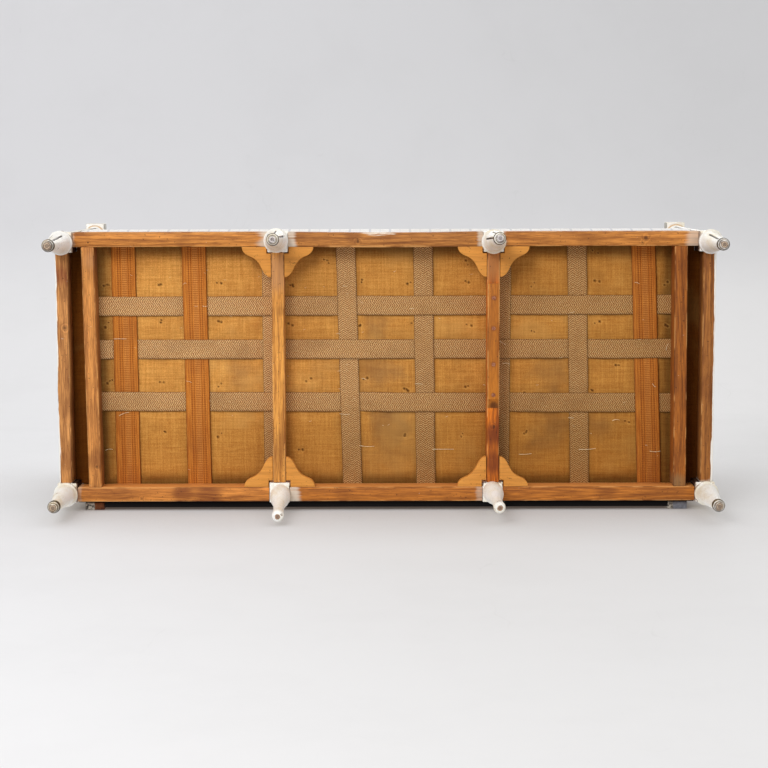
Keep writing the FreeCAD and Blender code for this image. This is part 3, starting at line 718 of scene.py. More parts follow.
def shaded_raw_faces(axes):
    """1 on the blocks' unpainted faces inside the frame, painted dark brown as painted shade."""
    inside_x = 1 - rise(size_of(axes[0]), INSIDE_X - 0.0002, INSIDE_X + 0.0002)
    inside_y = 1 - rise(size_of(axes[1]), INSIDE_Y - 0.0005, INSIDE_Y + 0.0005)
    return inside_x * inside_y * rise(axes[2], 0.2385, 0.2395) * (1 - rise(axes[2], 0.32, 0.33))


def block_marks(colour, axes, patches):
    """A greyer top block with a dark inner face that is painted shade, and the brown seam under it."""
    height = axes[2]
    top_block = rise(height, TOP_BLOCK_LOW, TOP_BLOCK_LOW + 0.001)
    shaded_inner_face = 1 - rise(size_of(axes[0]), 0.8722, 0.8732)
    # Painted shade on the top block's inner face.
    colour = blend(colour, shade(58, 54, 36), shaded_inner_face * top_block)
    colour = blend(colour, shade(206, 198, 182), top_block * 0.5)
    seam = 1 - rise(size_of(axes[0]) + (patches - 0.5) * 0.012, 0.8735, 0.8775)
    seam = seam * (1 - rise(height, 0.30, 0.31)) * rise(height, 0.2, 0.21)
    return blend(colour, shade(132, 92, 58), seam * 0.8)


def gilded(colour, height, patches):
    """The gilded ring under the top block, worn pale in places."""
    gilt = rise(height, GILT_LOW, GILT_LOW + 0.0005)
    gilt = gilt * (1 - rise(height, TOP_BLOCK_LOW - 0.0005, TOP_BLOCK_LOW))
    gold = blend(shade(204, 158, 96), shade(222, 204, 172), rise(patches, 0.5, 0.62) * 0.8)
    return blend(colour, gold, gilt * 0.8)


# %% [markdown]
# The paint is old: it has yellowed unevenly, cracked, and rubbed through to brown wood on the proud
# edges, and dirt lies in the flutes. Noise at three sizes gives the yellowing, the chips and the
# grime. Thin lines where a noise crosses its middle value give the cracks.

# %% Old white paint
def old_paint(name, seed, chips=0.5, foot=None, has_gilt=False, is_block=False, has_shaded_raw_faces=False):
    material, w, shader = start_finish(name, roughness=0.5, specular=0.3)
    at = place_of(w)
    axes = split(at)
    shift = (seed * 3.1, seed * 1.3, seed * 0.7)
    mottled = cloudy(stretched(at, (16, 16, 10), shift), 1.0, 4.0, 0.62)
    yellow, cream, white = shade(238, 227, 203), shade(250, 246, 235), shade(253, 251, 246)
    colour = ramp(rise(mottled, 0.32, 0.70), (0.0, yellow), (1.0, white), (0.45, cream))
    cracks = cloudy(stretched(at, (75, 75, 26), shift), 1.0, 6.0, 0.75, 1.2)
    veins = 1 - rise(size_of(cracks - 0.5), 0.0, 0.016)
    colour = blend(colour, shade(170, 142, 104), veins * 0.35)
    patches = cloudy(stretched(at, (42, 42, 34), shift), 1.0, 6.0, 0.7, 0.4)
    worn_through = patches + point_number(w, "proud") * 0.13 * chips
    chipped = rise(worn_through, 0.70 - 0.03 * chips, 0.72 - 0.03 * chips)
    under = blend(shade(138, 92, 54), shade(84, 52, 30), rise(mottled, 0.45, 0.6))
    colour = blend(colour, under, chipped * 0.9)
    grime = rise(cloudy(stretched(at, (95, 95, 95), shift), 1.0, 3.0), 0.58, 0.8)
    colour = blend(colour, shade(176, 154, 118), grime * 0.25)
    rough = 0.48 + chipped * 0.3 + grime * 0.1
    if foot:
        colour = foot_end(colour, w, at, shift, patches, axes[2], foot)
    if has_gilt:
        colour = gilded(colour, axes[2], patches)
    if is_block:
        colour = block_marks(colour, axes, patches)
    if has_shaded_raw_faces:
        raw = shaded_raw_faces(axes)
        # Bare wood on the faces inside the frame, painted dark as painted shade.
        colour = blend(colour, shade(66, 38, 18), raw)
        rough = rough + raw * 0.5
    colour = blend(colour, shade(52, 38, 28), point_number(w, "groove"))
    height_map = patches * 0.4 - chipped * 0.5 + veins * -0.3
    feed(shader, Base_Color=colour, Roughness=rough, Normal=relief(height_map, 0.0006, 0.7))
    return material


brown_end = dict(
    dark=shade(96, 70, 50), light=shade(200, 174, 146), ringed=True,
    bare=0.0106, rim=0.85, rim_end=0.0135,
)
grey_end = dict(
    dark=shade(116, 100, 98), light=shade(224, 216, 212), ringed=True,
    bare=0.0092, rim=0.75, rim_end=0.0122,
)
plain_end = dict(
    dark=shade(112, 76, 52), light=shade(190, 152, 120), ringed=False,
    bare=0.0078, rim=0.0, rim_end=0.02,
)
leg_paint = old_paint("leg_paint", 1, 0.7, brown_end, is_block=True, has_shaded_raw_faces=True)
middle_leg_paint = old_paint("middle_leg_paint", 5, 0.7, grey_end)
plain_leg_paint = old_paint("plain_leg_paint", 2, 0.8, plain_end)
column_paint = old_paint("column_paint", 3, has_gilt=True, is_block=True, has_shaded_raw_faces=True)
rail_paint = old_paint("top_rail_paint", 4)
post_paint = old_paint("rear_post_paint", 4, has_shaded_raw_faces=True)
print("paint finishes made")

# %% [markdown]
# A turned form is a profile spun about its axis, as on a lathe. The profile is a chain of points
# (radius, height), and `spin` sweeps it round in small steps. The straight run where flutes will lie
# gets more points first, because they are cut by moving points.

# %% The lathe
STEPS = 144


def dense(profile, spans):
    """Add points on the straight run that holds each span; a span is (low, high, how many)."""
    result = [profile[0]]
    for (r0, z0), (r1, z1) in zip(profile, profile[1:]):
        for low, high, count in spans:
            if z0 <= low and z1 >= high:
                for n in range(count + 1):
                    share = (low + (high - low) * n / count - z0) / (z1 - z0)
                    if 0 < share < 1:
                        result.append((r0 + (r1 - r0) * share, z0 + (z1 - z0) * share))
        result.append((r1, z1))
    return result


def new_verts(bm):
    """The vertices made since the last call, which then count as old."""
    made = [v for v in bm.verts if not v.tag]
    for v in made:
        v.tag = True
    return made


def lathe(bm, profile, centre):
    """Spin a profile about the vertical through centre, and return its vertices."""
    new_verts(bm)
    chain = [bm.verts.new((centre[0] + r, centre[1], z)) for r, z in profile]
    edges = [bm.edges.new(pair) for pair in zip(chain, chain[1:])]
    bmesh.ops.spin(
        bm, geom=chain + edges, cent=(centre[0], centre[1], 0), axis=(0, 0, 1),
        angle=2 * math.pi, steps=STEPS, use_merge=True,
    )
    bmesh.ops.remove_doubles(bm, verts=[v for v in bm.verts if not v.tag], dist=1e-6)
    return new_verts(bm)


# %% [markdown]
# The flutes are narrow slots with round ends that stop short of the leg's ends. Each is cut by
# pushing the points that lie inside it towards the axis, which keeps the mesh clean. The depth of
# each point is kept too, because old dirt lies where the tool cut deepest.

# %% Stopped flutes
FLUTE_HALF_WIDTH = 0.0024
FLUTE_DEPTH = 0.0030
FLUTE_EDGE = 0.0006


def layers(bm):
    """The three numbers that each point carries for the paint."""
    return [bm.verts.layers.float.new(name) for name in ("groove", "proud", "reach")]


def cut_flutes(verts, centre, angles_deg, low, high, groove):
    """Press narrow round-ended slots into a turned form, and note how deep each point lies."""
    for v in verts:
        x, y = v.co.x - centre[0], v.co.y - centre[1]
        radius = math.hypot(x, y)
        if not low - 0.003 < v.co.z < high + 0.003 or radius < 0.008:
            continue
        over = max(low + FLUTE_HALF_WIDTH - v.co.z, v.co.z - high + FLUTE_HALF_WIDTH, 0)
        for angle in angles_deg:
            turn = math.atan2(y, x) - math.radians(angle)
            turn = (turn + math.pi) % (2 * math.pi) - math.pi
            aside = math.hypot(radius * turn, over)
            if abs(turn) < 1 and aside < FLUTE_HALF_WIDTH + FLUTE_EDGE:
                depth = min(1, (FLUTE_HALF_WIDTH + FLUTE_EDGE - aside) / (2 * FLUTE_EDGE))
                push = 1 - FLUTE_DEPTH * depth / radius
                v.co.x, v.co.y = centre[0] + x * push, centre[1] + y * push
                v[groove] = max(v[groove], depth)


# %% [markdown]
# Above the turned part each leg is a square block, where the rails' tenons sit. Its edges are
# bevelled, and they count as proud, so that the paint is rubbed through there first. A narrow inset
# keeps that wear to the edges and off the faces.

# %% Square blocks
def add_box(bm, proud, low, high, edge=0.0015):
    """A bevelled block in the same bmesh; its edges count as proud, and its faces don't."""
    made = bmesh.ops.create_cube(bm, size=1.0)["verts"]
    bmesh.ops.scale(bm, vec=[high[n] - low[n] for n in range(3)], verts=made)
    bmesh.ops.translate(bm, vec=[(high[n] + low[n]) / 2 for n in range(3)], verts=made)
    edges = list({e for v in made for e in v.link_edges})
    bevelled = bmesh.ops.bevel(
        bm, geom=edges, offset=edge, offset_type="OFFSET", affect="EDGES", segments=2,
        profile=0.5, material=-1,
    )
    corners = {v for f in bevelled["faces"] for v in f.verts}
    for v in corners:
        v[proud] = 1.0
    round_corners = {f for v in corners for f in v.link_faces}
    sides = [f for f in round_corners if f.calc_area() > 2e-4]
    bmesh.ops.inset_individual(bm, faces=sides, thickness=0.0035)
    for f in sides:
        for v in f.verts:
            v[proud] = 0.0


# %% [markdown]
# The ringed leg has, from the floor up, a small rounded foot, the bronzed ring, a long taper with
# three flutes, a thin rounded disc and a neck under the block. The plain leg, used twice in the rear
# row, is a later replacement with a bulb and no ring. The middle legs were set a little off their
# blocks and have worked loose, so each leans its own way.

# %% Leg profiles
UNDERFRAME = 0.237
RINGED_LEG = (
    (0.0, 0.0), (0.0088, 0.0), (0.0108, 0.0008), (0.0124, 0.0026), (0.0134, 0.0050), (0.0139, 0.0085),
    (0.0140, 0.0122), (0.0150, 0.0130), (0.0163, 0.0136), (0.0169, 0.0155), (0.0170, 0.0185),
    (0.0170, 0.0250), (0.0168, 0.0280), (0.0160, 0.0298), (0.0146, 0.0303), (0.0143, 0.0330),
    (0.0300, 0.1975), (0.0304, 0.1995), (0.0320, 0.2015), (0.0336, 0.2035), (0.0340, 0.2060),
    (0.0340, 0.2130), (0.0336, 0.2155), (0.0322, 0.2175), (0.0290, 0.2182), (0.0270, 0.2190),
    (0.0263, 0.2215), (0.0262, 0.2300), (0.0268, UNDERFRAME),
)
PLAIN_LEG = (
    (0.0, 0.0), (0.0096, 0.0), (0.0122, 0.0010), (0.0144, 0.0034), (0.0158, 0.0080), (0.0164, 0.0140),
    (0.0161, 0.0210), (0.0152, 0.0290), (0.0146, 0.0400), (0.0143, 0.0600), (0.0147, 0.0800),
    (0.0160, 0.1080), (0.0186, 0.1320), (0.0222, 0.1520), (0.0254, 0.1700), (0.0275, 0.1880),
    (0.0281, 0.2020), (0.0279, 0.2140), (0.0272, 0.2260), (0.0268, UNDERFRAME),
)
FLUTE_LOW, FLUTE_HIGH = 0.048, 0.160
LEG_SPAN = ((0.044, 0.164, 60),)
HALF_BLOCK = 0.028
front_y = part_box("front_rail_left")[0].y + HALF_BLOCK
rear_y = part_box("rear_rail_left")[1].y + 0.003 - HALF_BLOCK
corner_x, middle_x = 0.900, 0.301


def add_leg(bm, marks, profile, centre, flutes, shift=(0.0, 0.0), lean=(0.0, 0.0)):
    """A turned leg under centre; shift moves all of it, and lean moves its foot."""
    groove, proud, reach = marks
    verts = lathe(bm, dense(profile, LEG_SPAN) if flutes else profile, centre)
    cut_flutes(verts, centre, flutes, FLUTE_LOW, FLUTE_HIGH, groove)
    for v in verts:
        radius = math.hypot(v.co.x - centre[0], v.co.y - centre[1])
        v[proud] = 0.8 if radius > 0.0325 else (0.5 if v.co.z < 0.034 else 0.1)
        v[reach] = radius
        share = 1 - v.co.z / UNDERFRAME
        v.co.x += shift[0] + lean[0] * share
        v.co.y += shift[1] + lean[1] * share


print("leg rows at y =", round(front_y, 4), "and", round(rear_y, 4))

# %% [markdown]
# Each corner post is leg, block and upper post in one piece of wood, so each is one piece here
# too. In front the upper part is a fluted column under a square top block that stands forward;
# behind it is a plain square post.

# %% Corner posts
POST_BLOCK_TOP, OVERALL = 0.313, 0.888
COLUMN = (
    (0.0245, POST_BLOCK_TOP), (0.0268, 0.3135), (0.0276, 0.3165), (0.0276, 0.3235), (0.0268, 0.3265),
    (0.0258, 0.3275), (0.0254, 0.3300), (0.0254, 0.3420), (0.0252, 0.8080), (0.0252, 0.8215),
    (0.0275, 0.8235), (0.0300, 0.8255), (0.0313, 0.8285), (0.0300, 0.8315), (0.0275, 0.8335),
    (0.0245, TOP_BLOCK_LOW),
)
COLUMN_FLUTES = (0.390, 0.800)
COLUMN_SPAN = ((0.386, 0.804, 130),)
FORWARD = 0.008


def block_corners(centre, low_z, high_z, forward=0.0):
    """The two corners of a block on centre; forward makes it stand out in front."""
    return (
        (centre[0] - HALF_BLOCK, centre[1] - HALF_BLOCK - forward, low_z),
        (centre[0] + HALF_BLOCK, centre[1] + HALF_BLOCK, high_z),
    )


def front_post(side, flutes, column_flutes):
    centre = (side * corner_x, front_y)
    bm = bmesh.new()
    marks = layers(bm)
    add_leg(bm, marks, RINGED_LEG, centre, flutes)
    column = lathe(bm, dense(COLUMN, COLUMN_SPAN), centre)
    cut_flutes(column, centre, column_flutes, *COLUMN_FLUTES, marks[0])
    add_box(bm, marks[1], *block_corners(centre, UNDERFRAME, POST_BLOCK_TOP))
    add_box(bm, marks[1], *block_corners(centre, TOP_BLOCK_LOW, OVERALL, FORWARD), 0.003)
    return bm


def rear_post(side, flutes):
    centre = (side * corner_x, rear_y)
    bm = bmesh.new()
    marks = layers(bm)
    add_leg(bm, marks, RINGED_LEG, centre, flutes)
    add_box(bm, marks[1], *block_corners(centre, UNDERFRAME, OVERALL), 0.003)
    return bm


def paint_foot(piece, upper):
    """The leg's finish below the block's top, and the upper finish above it."""
    piece.data.materials.append(upper)
    for face in piece.data.polygons:
        if face.center.z > POST_BLOCK_TOP:
            face.material_index = 1


for side, place, front_flutes, rear_flutes in (
    (-1, "left", (-57, -117, -177), (-161, 139)),
    (1, "right", (-123, -63, -3), (-19, 41)),
):
    column_flutes = [-90 + side * -(22 + 60 * n) for n in range(-2, 4)]
    for post_place, bm, upper in (
        ("front", front_post(side, front_flutes, column_flutes), column_paint),
        ("rear", rear_post(side, rear_flutes), post_paint),
    ):
        node = post_place + "_corner_post_" + place
        name = post_place + "_post_" + place
        paint_foot(make_piece(name, bm, leg_paint, [node], 40), upper)
print("corner posts made")

# %% [markdown]
# The four middle legs stand under the cross bars. Each is a turned leg under a short square block,
# with its own turn of the flutes, its own shift and its own lean, all in metres. Two legs share one
# CAD node in front, and two share one behind.

# %% Middle legs
SEAT_TOP = 0.305
MIDDLE_LEGS = (
    ("front_middle_leg_left", -middle_x, (-24, -84, -144), (-0.003, -0.004), (0.003, -0.012)),
    ("front_middle_leg_right", middle_x, (-49, -109, -169), (-0.002, 0.001), (0.0055, -0.019)),
    ("rear_middle_leg_left", -middle_x, (), (0.003, 0.002), (0.005, 0.023)),
    ("rear_middle_leg_right", middle_x, (), (-0.001, -0.004), (0.007, 0.007)),
)

for name, x, flutes, shift, lean in MIDDLE_LEGS:
    if name.startswith("front"):
        y, profile, node, finish = front_y, RINGED_LEG, "front_middle_legs", middle_leg_paint
    else:
        y, profile, node, finish = rear_y, PLAIN_LEG, "rear_middle_legs", plain_leg_paint
    bm = bmesh.new()
    marks = layers(bm)
    add_leg(bm, marks, profile, (x, y), flutes, shift, lean)
    add_box(bm, marks[1], *block_corners((x, y), UNDERFRAME, SEAT_TOP))
    make_piece(name, bm, finish, [node], 40)
print("middle legs made:", len(MIDDLE_LEGS))

# %% [markdown]
# The show-wood rails along the top of the sides and the back are planed to a flat top between two
# rounded shoulders. Half of the section is drawn once as points (across, up), mirrored, and pushed
# along the rail.

# %% Top rails
HALF_SECTION = (
    (-0.021, 0.0), (-0.021, 0.0265), (-0.0205, 0.0270), (-0.018, 0.0270), (-0.0177, 0.0300),
    (-0.0165, 0.0330), (-0.0142, 0.0356), (-0.0110, 0.0373), (-0.0072, 0.0380),
)
SECTION = HALF_SECTION + tuple((-across, up) for across, up in reversed(HALF_SECTION))


def top_rail(node, along):
    low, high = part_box(node)
    bm = bmesh.new()
    if along == ALONG_Y:
        middle = (low.x + high.x) / 2
        flat = [bm.verts.new((middle + across, low.y, low.z + up)) for across, up in SECTION]
        way = (0, high.y - low.y, 0)
    else:
        middle = (low.y + high.y) / 2
        flat = [bm.verts.new((low.x, middle + across, low.z + up)) for across, up in SECTION]
        way = (high.x - low.x, 0, 0)
    end = bm.faces.new(flat)
    pushed = bmesh.ops.extrude_face_region(bm, geom=[end])
    bmesh.ops.translate(bm, vec=way, verts=pushed_verts(pushed))
    make_piece(node + "_moulding", bm, rail_paint, [node], 50)


top_rail("back_top_rail", ALONG_X)
print("back top rail made")

# %% [markdown]
# The battens on the rear of the back are rough boards, and their colours are dark, as painted shade
# under the rear rail. The left one is bare brown wood on its inner half and whitewashed on its outer
# half, and the right one is grey on its outer half, the colour that white paint shows in shade, and
# whitewashed on its inner half. One finish serves both, and X tells it which batten it is on. Each
# end of the sofa then gets its top rail and its batten.

# %% Side top rails and rear battens
def shaded_batten_finish():
    material, w, shader = start_finish("rear_batten_wood", roughness=0.75, specular=0.2)
    at = place_of(w)
    axes = split(at)
    streaks = cloudy(grained(at, ALONG_Z, 90.0, 3.0, (2.0, 0.0, 0.0)), 1.0, 4.0, 0.65)
    rough_wash = cloudy(stretched(at, (110, 110, 40), (5, 1, 2)), 1.0, 5.0, 0.7)
    # All three tones are dark, as painted shade: bare wood, whitewash and white paint, each as it
    # looks in shade.
    brown = ramp(streaks, (0.35, shade(64, 30, 14)), (0.65, shade(112, 62, 30)))
    wash = ramp(rough_wash, (0.42, shade(44, 38, 34)), (0.58, shade(168, 158, 144)))
    white_paint_in_shade = ramp(streaks, (0.3, shade(88, 88, 94)), (0.7, shade(122, 122, 128)))
    edge = axes[0] + (rough_wash - 0.5) * 0.010
    left_batten = blend(wash, brown, rise(edge, -0.8270, -0.8250))
    right_batten = blend(wash, white_paint_in_shade, rise(edge, 0.8120, 0.8150))
    colour = blend(left_batten, right_batten, rise(axes[0], -0.1, 0.1))
    feed(shader, Base_Color=colour, Normal=relief(streaks + rough_wash * 0.5, 0.0008, 0.7))
    return material


rear_batten_wood = shaded_batten_finish()
for place in ("left", "right"):
    top_rail("side_top_rail_" + place, ALONG_Y)
    board("rear_batten_" + place, rear_batten_wood, None, 0.003, ALONG_Z)
print("side top rails and rear battens made")

# %% [markdown]
# The cloth parts share their dirt and their painted shade. The webbing and the burlap are palest near
# the front left corner, and browner and darker to the right and the rear, partly dirt and partly
# painted shade where less light reaches. Multiplying a colour by a brown darkens it and keeps its
# pattern, where mixing in a flat brown would hide the weave.

# %% Dirt and painted shade on cloth
def dulled(colour, amount, factors=(0.70, 0.65, 0.55)):
    """The colour, darkened towards those factors by amount."""
    darker = colour.node("ShaderNodeVectorMath", {"operation": "MULTIPLY"}, {0: colour, 1: factors})
    return blend(colour, darker, amount)


def soiled_and_shaded(colour, axes, share):
    """The cloth is palest near the front left corner, and darker to the right and the rear: dirt and
    painted shade.
    """
    colour = dulled(colour, rise(axes[0], -0.95, 0.95) * share)
    return dulled(colour, rise(axes[1], 0.03, 0.22) * (share * 0.75))


# %% [markdown]
# Jute webbing is woven in a herringbone, so its threads zigzag in columns along the strap. The
# straps carry a UV map in metres: u runs across from the middle and v along. A triangle wave in u,
# added to v, bends straight lines into zigzags.

# %% Jute webbing finish
COLUMN_WIDTH, THREAD_PITCH = 0.0135, 0.0062


def strap_coords(w):
    uv = w.node("ShaderNodeUVMap", {"uv_map": "weave"})
    across, along, _ = split(uv)
    return uv, across, along


def jute_finish():
    material, w, shader = start_finish("jute_herringbone", roughness=0.9, specular=0.1)
    at = place_of(w)
    uv, across, along = strap_coords(w)
    column = across / COLUMN_WIDTH
    triangle = column.math("PINGPONG", column, 1.0)
    loose = cloudy(stretched(at, (40, 40, 40)), 1.0, 2.0) * 0.003
    thread = wave(along + triangle * 0.0100 + loose * 1.6, THREAD_PITCH)
    fuzz = cloudy(stretched(uv, (400, 360, 1)), 1.0, 2.0, 0.7)
    fine = cloudy(stretched(uv, (1500, 900, 1)), 1.0, 1.0, 0.6)
    weave = thread * 0.17 + fuzz * 0.60 + fine * 0.23
    hollow, low_thread = shade(104, 66, 36), shade(168, 116, 72)
    high_thread, crest = shade(214, 164, 106), shade(250, 216, 160)
    stops = ((0.0, hollow), (1.0, crest), (0.35, low_thread), (0.7, high_thread))
    colour = ramp(rise(weave, 0.30, 0.68), *stops)
    uneven = cloudy(stretched(at, (8, 8, 8)), 1.0, 4.0, 0.6)
    colour = blend(colour, shade(136, 96, 60), rise(uneven, 0.45, 0.75) * 0.35)
    # A dark line along both edges: partly the selvedge, and partly painted shade where the strap
    # stands off the burlap.
    out = size_of(across) + (fuzz - 0.5) * 0.002
    colour = blend(colour, shade(96, 60, 32), rise(out, 0.0256, 0.0270) * 0.6)
    colour = soiled_and_shaded(colour, split(at), 1.0)
    feed(shader, Base_Color=colour, Normal=relief(weave, 0.0016, 0.9))
    return material


# %% [markdown]
# The three wider straps are a later, rust-coloured webbing. It has short cross ribs, like ladder
# rungs, down its middle and in two narrower bands beside it, between fine lengthwise lines. Each
# band is a soft mask by the distance from its own middle.

# %% Rust webbing finish
def rust_finish():
    material, w, shader = start_finish("rust_webbing", roughness=0.8, specular=0.15)
    at = place_of(w)
    uv, across, along = strap_coords(w)
    from_ladder = size_of(across + 0.002)
    ladder = 1 - rise(from_ladder, 0.0070, 0.0080)
    beside = size_of(from_ladder - 0.0165)
    small_ladder = 1 - rise(beside, 0.0060, 0.0080)
    lines = wave(across, 0.0072) ** 3
    fuzz = cloudy(stretched(uv, (520, 420, 1)), 1.0, 2.0, 0.7)
    rungs = wave(along + fuzz * 0.0016, 0.0052)
    run = cloudy(stretched(uv, (420, 14, 1)), 1.0, 3.0, 0.6)
    uneven = cloudy(stretched(at, (7, 7, 7)), 1.0, 4.0, 0.6)
    ground = rise(fuzz * 0.5 + run * 0.5, 0.36, 0.64)
    colour = ramp(ground, (0.0, shade(180, 98, 32)), (1.0, shade(226, 146, 60)))
    dark = lines * (1 - ladder) * 0.55
    dark = dark + (ladder + small_ladder * 0.8) * (1 - rungs) * 0.65
    colour = blend(colour, shade(122, 52, 16), rise(dark, 0.2, 0.9) * 0.8)
    colour = blend(colour, shade(236, 174, 104), ladder * rungs ** 2 * 0.30)
    colour = blend(colour, shade(146, 82, 38), rise(uneven, 0.42, 0.75) * 0.4)
    # A dark line along both edges: partly the selvedge, and partly painted shade where the strap
    # stands off the burlap.
    out = size_of(across) + (fuzz - 0.5) * 0.003
    colour = blend(colour, shade(96, 40, 14), rise(out, 0.0320, 0.0340) * 0.75)
    colour = soiled_and_shaded(colour, split(at), 0.6)
    feed(shader, Base_Color=colour, Normal=relief(fuzz * 0.4 - dark, 0.0010, 0.8))
    return material


jute = jute_finish()
rust_cloth = rust_finish()
print("webbing finishes made")

# %% [markdown]
# Eight short straps run from front to back and three long ones run along the sofa, tacked to the
# rails. The upholsterer set them by eye, so the gaps and the slopes differ. The places below are
# shares of the opening between the inner side rails.

# %% Where the straps lie
low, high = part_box("inner_side_rail_left")
middle_y = (low.y + high.y) / 2
half_depth = (high.y - low.y) / 2
half_width = 0.808
SHORT_LENGTH, LONG_LENGTH = 2 * half_depth + 0.020, 2 * half_width + 0.020
LONG_PLACES = [middle_y + half_depth * share for share in (-0.500, -0.135, 0.313)]
LONG_SLOPES = (-0.0015, 0.0006, 0.0043)
SHORT_SHARES = (-0.9127, -0.6640, -0.3970, -0.1291, 0.1360, 0.4025, 0.6761, 0.9151)
SHORT_PLACES = [half_width * share for share in SHORT_SHARES]
SHORT_SLOPES = (0.0086, 0.0136, 0.0043, 0.0257, 0.0128, -0.0057, 0.0200, 0.0371)
RUST_PLACES = (0, 1, 7)
JUTE_WIDTH, RUST_WIDTH = 0.055, 0.069


def short_width(n):
    """The width of the short strap with that number, counted from 0."""
    return RUST_WIDTH if n in RUST_PLACES else JUTE_WIDTH


print("short straps at x =", [round(x, 3) for x in SHORT_PLACES])

# %% [markdown]
# Every strap is a long grid that is laid along its run, lifted where it passes over another strap,
# and let wander a little at its edges. Solidify then gives it thickness.

# %% One strap
STRAP_THICKNESS = 0.0020
STEP = 0.0025
ROW_LENGTH = 0.005


def thicken(piece, thickness):
    """Half of the thickness to each side of the cloth."""
    solid = piece.modifiers.new("thickness", "SOLIDIFY")
    solid.thickness = thickness
    solid.offset = 0


def strap(name, node, finish, width, length, centre, turn, crossings):
    """A strap of that length through centre; crossings are (place along, half width, lifted)."""
    bm = bmesh.new()
    rows = int(length / ROW_LENGTH)
    bmesh.ops.create_grid(bm, x_segments=rows, y_segments=8, size=0.5)
    uv_layer = bm.loops.layers.uv.new("weave")
    for face in bm.faces:
        for corner in face.loops:
            corner[uv_layer].uv = (corner.vert.co.y * width, corner.vert.co.x * length)
    seed = sum(ord(letter) for letter in name)
    for v in bm.verts:
        along, across = v.co.x * length, v.co.y
        lift = 0.0
        for place, half, lifted in crossings:
            if lifted:
                near = max(0.0, 1 - max(0.0, abs(along - place) - half - 0.002) / 0.022)
                lift = max(lift, near * near * (3 - 2 * near))
        wander = noise.noise(Vector((along * 7, seed, 0))) * 0.0014
        frayed = noise.noise(Vector((along * 90, seed, math.copysign(3, across)))) * 0.0009
        frayed *= abs(across * 2) ** 6
        ripple = noise.noise(Vector((along * 24, across * 3, seed))) * 0.0006
        curl = -0.0007 * abs(across * 2) ** 8 * (0.5 + noise.noise(Vector((along * 16, seed, 5))))
        v.co = (along, across * width + wander + frayed, lift * STEP + ripple + curl)
    bmesh.ops.rotate(bm, cent=(0, 0, 0), matrix=Matrix.Rotation(turn, 3, "Z"), verts=bm.verts)
    height = SEAT_TOP + STRAP_THICKNESS / 2 + 0.0003
    bmesh.ops.translate(bm, vec=(centre[0], centre[1], height), verts=bm.verts)
    piece = make_piece(name, bm, finish, [node], 60)
    thicken(piece, STRAP_THICKNESS)


# %% [markdown]
# The straps are woven over and under each other. Strap n passes over long strap `row` where n and
# row add up to an even number, and the long strap passes over where the sum is odd, so at each
# crossing just one of the two is lifted.

# %% The woven seat
for n, (x, slope) in enumerate(zip(SHORT_PLACES, SHORT_SLOPES)):
    if n in RUST_PLACES:
        node, cloth, slot = "rust_strap_" + str(n + 1), rust_cloth, "rust_webbing"
    else:
        node, cloth, slot = "short_jute_strap_" + str(n + 1), jute, "jute_webbing"
    crossings = [
        (y - middle_y, JUTE_WIDTH / 2, (n + row) % 2 == 0) for row, y in enumerate(LONG_PLACES)
    ]
    place, turn = (x, middle_y), math.pi / 2 - math.atan(slope)
    strap(node + "_woven", node, cloth, short_width(n), SHORT_LENGTH, place, turn, crossings)
for row, (y, slope) in enumerate(zip(LONG_PLACES, LONG_SLOPES)):
    crossings = [
        (x + lean * (y - middle_y), short_width(n) / 2, (n + row) % 2 == 1)
        for n, (x, lean) in enumerate(zip(SHORT_PLACES, SHORT_SLOPES))
    ]
    node, turn = "long_jute_strap_" + str(row + 1), math.atan(slope)
    strap(node + "_woven", node, jute, JUTE_WIDTH, LONG_LENGTH, (0, y), turn, crossings)
print("straps woven")

# %% [markdown]
# Burlap lies over the webbing and holds the stuffing up. Its plain weave shows as fine crossed
# threads, some thick and some thin. Two waves give the threads, and noise that is stretched along
# each direction makes them uneven. Old damp has left grey clouds in the middle, each a spot with a
# size and a strength, and the cloth is darker where the rails shade it.

# %% Burlap finish
CLOUDS = (
    (-0.415, 0.010, 0.07, 0.45), (-0.011, -0.123, 0.06, 0.45), (-0.017, 0.019, 0.10, 0.55),
    (0.026, 0.154, 0.09, 0.5), (0.010, 0.200, 0.14, 0.35), (-0.167, -0.010, 0.06, 0.4),
    (0.487, 0.006, 0.08, 0.45), (0.468, 0.170, 0.10, 0.5), (0.616, 0.166, 0.06, 0.4),
)
SHADE_X, SHADE_FRONT, SHADE_REAR = 0.803, 0.348, 0.329
SHADE_REACH = 0.042


def rail_shade(axes, blot):
    """How much the rails around the opening shade the cloth beside them."""
    side, front, rear = SHADE_X - size_of(axes[0]), axes[1] + SHADE_FRONT, SHADE_REAR - axes[1]
    from_rail = side.math("MINIMUM", side, front.math("MINIMUM", front, rear))
    return (1 - rise(from_rail + (blot - 0.5) * 0.006, 0.0, SHADE_REACH)) * 0.56


def clouded(colour, at, axes, clouds):
    """Grey clouds in the cloth, each as (x, y, size, strength)."""
    for x, y, size, strength in clouds:
        border = cloudy(stretched(at, (15, 15, 1), (x, y, 0)), 1.0, 4.0) - 0.5
        gap = distance(axes, (x, y)) + border * size * 2.6
        near = 1 - rise(gap, -size * 0.2, size * 1.2)
        colour = blend(colour, shade(138, 102, 70), near * strength)
    return colour


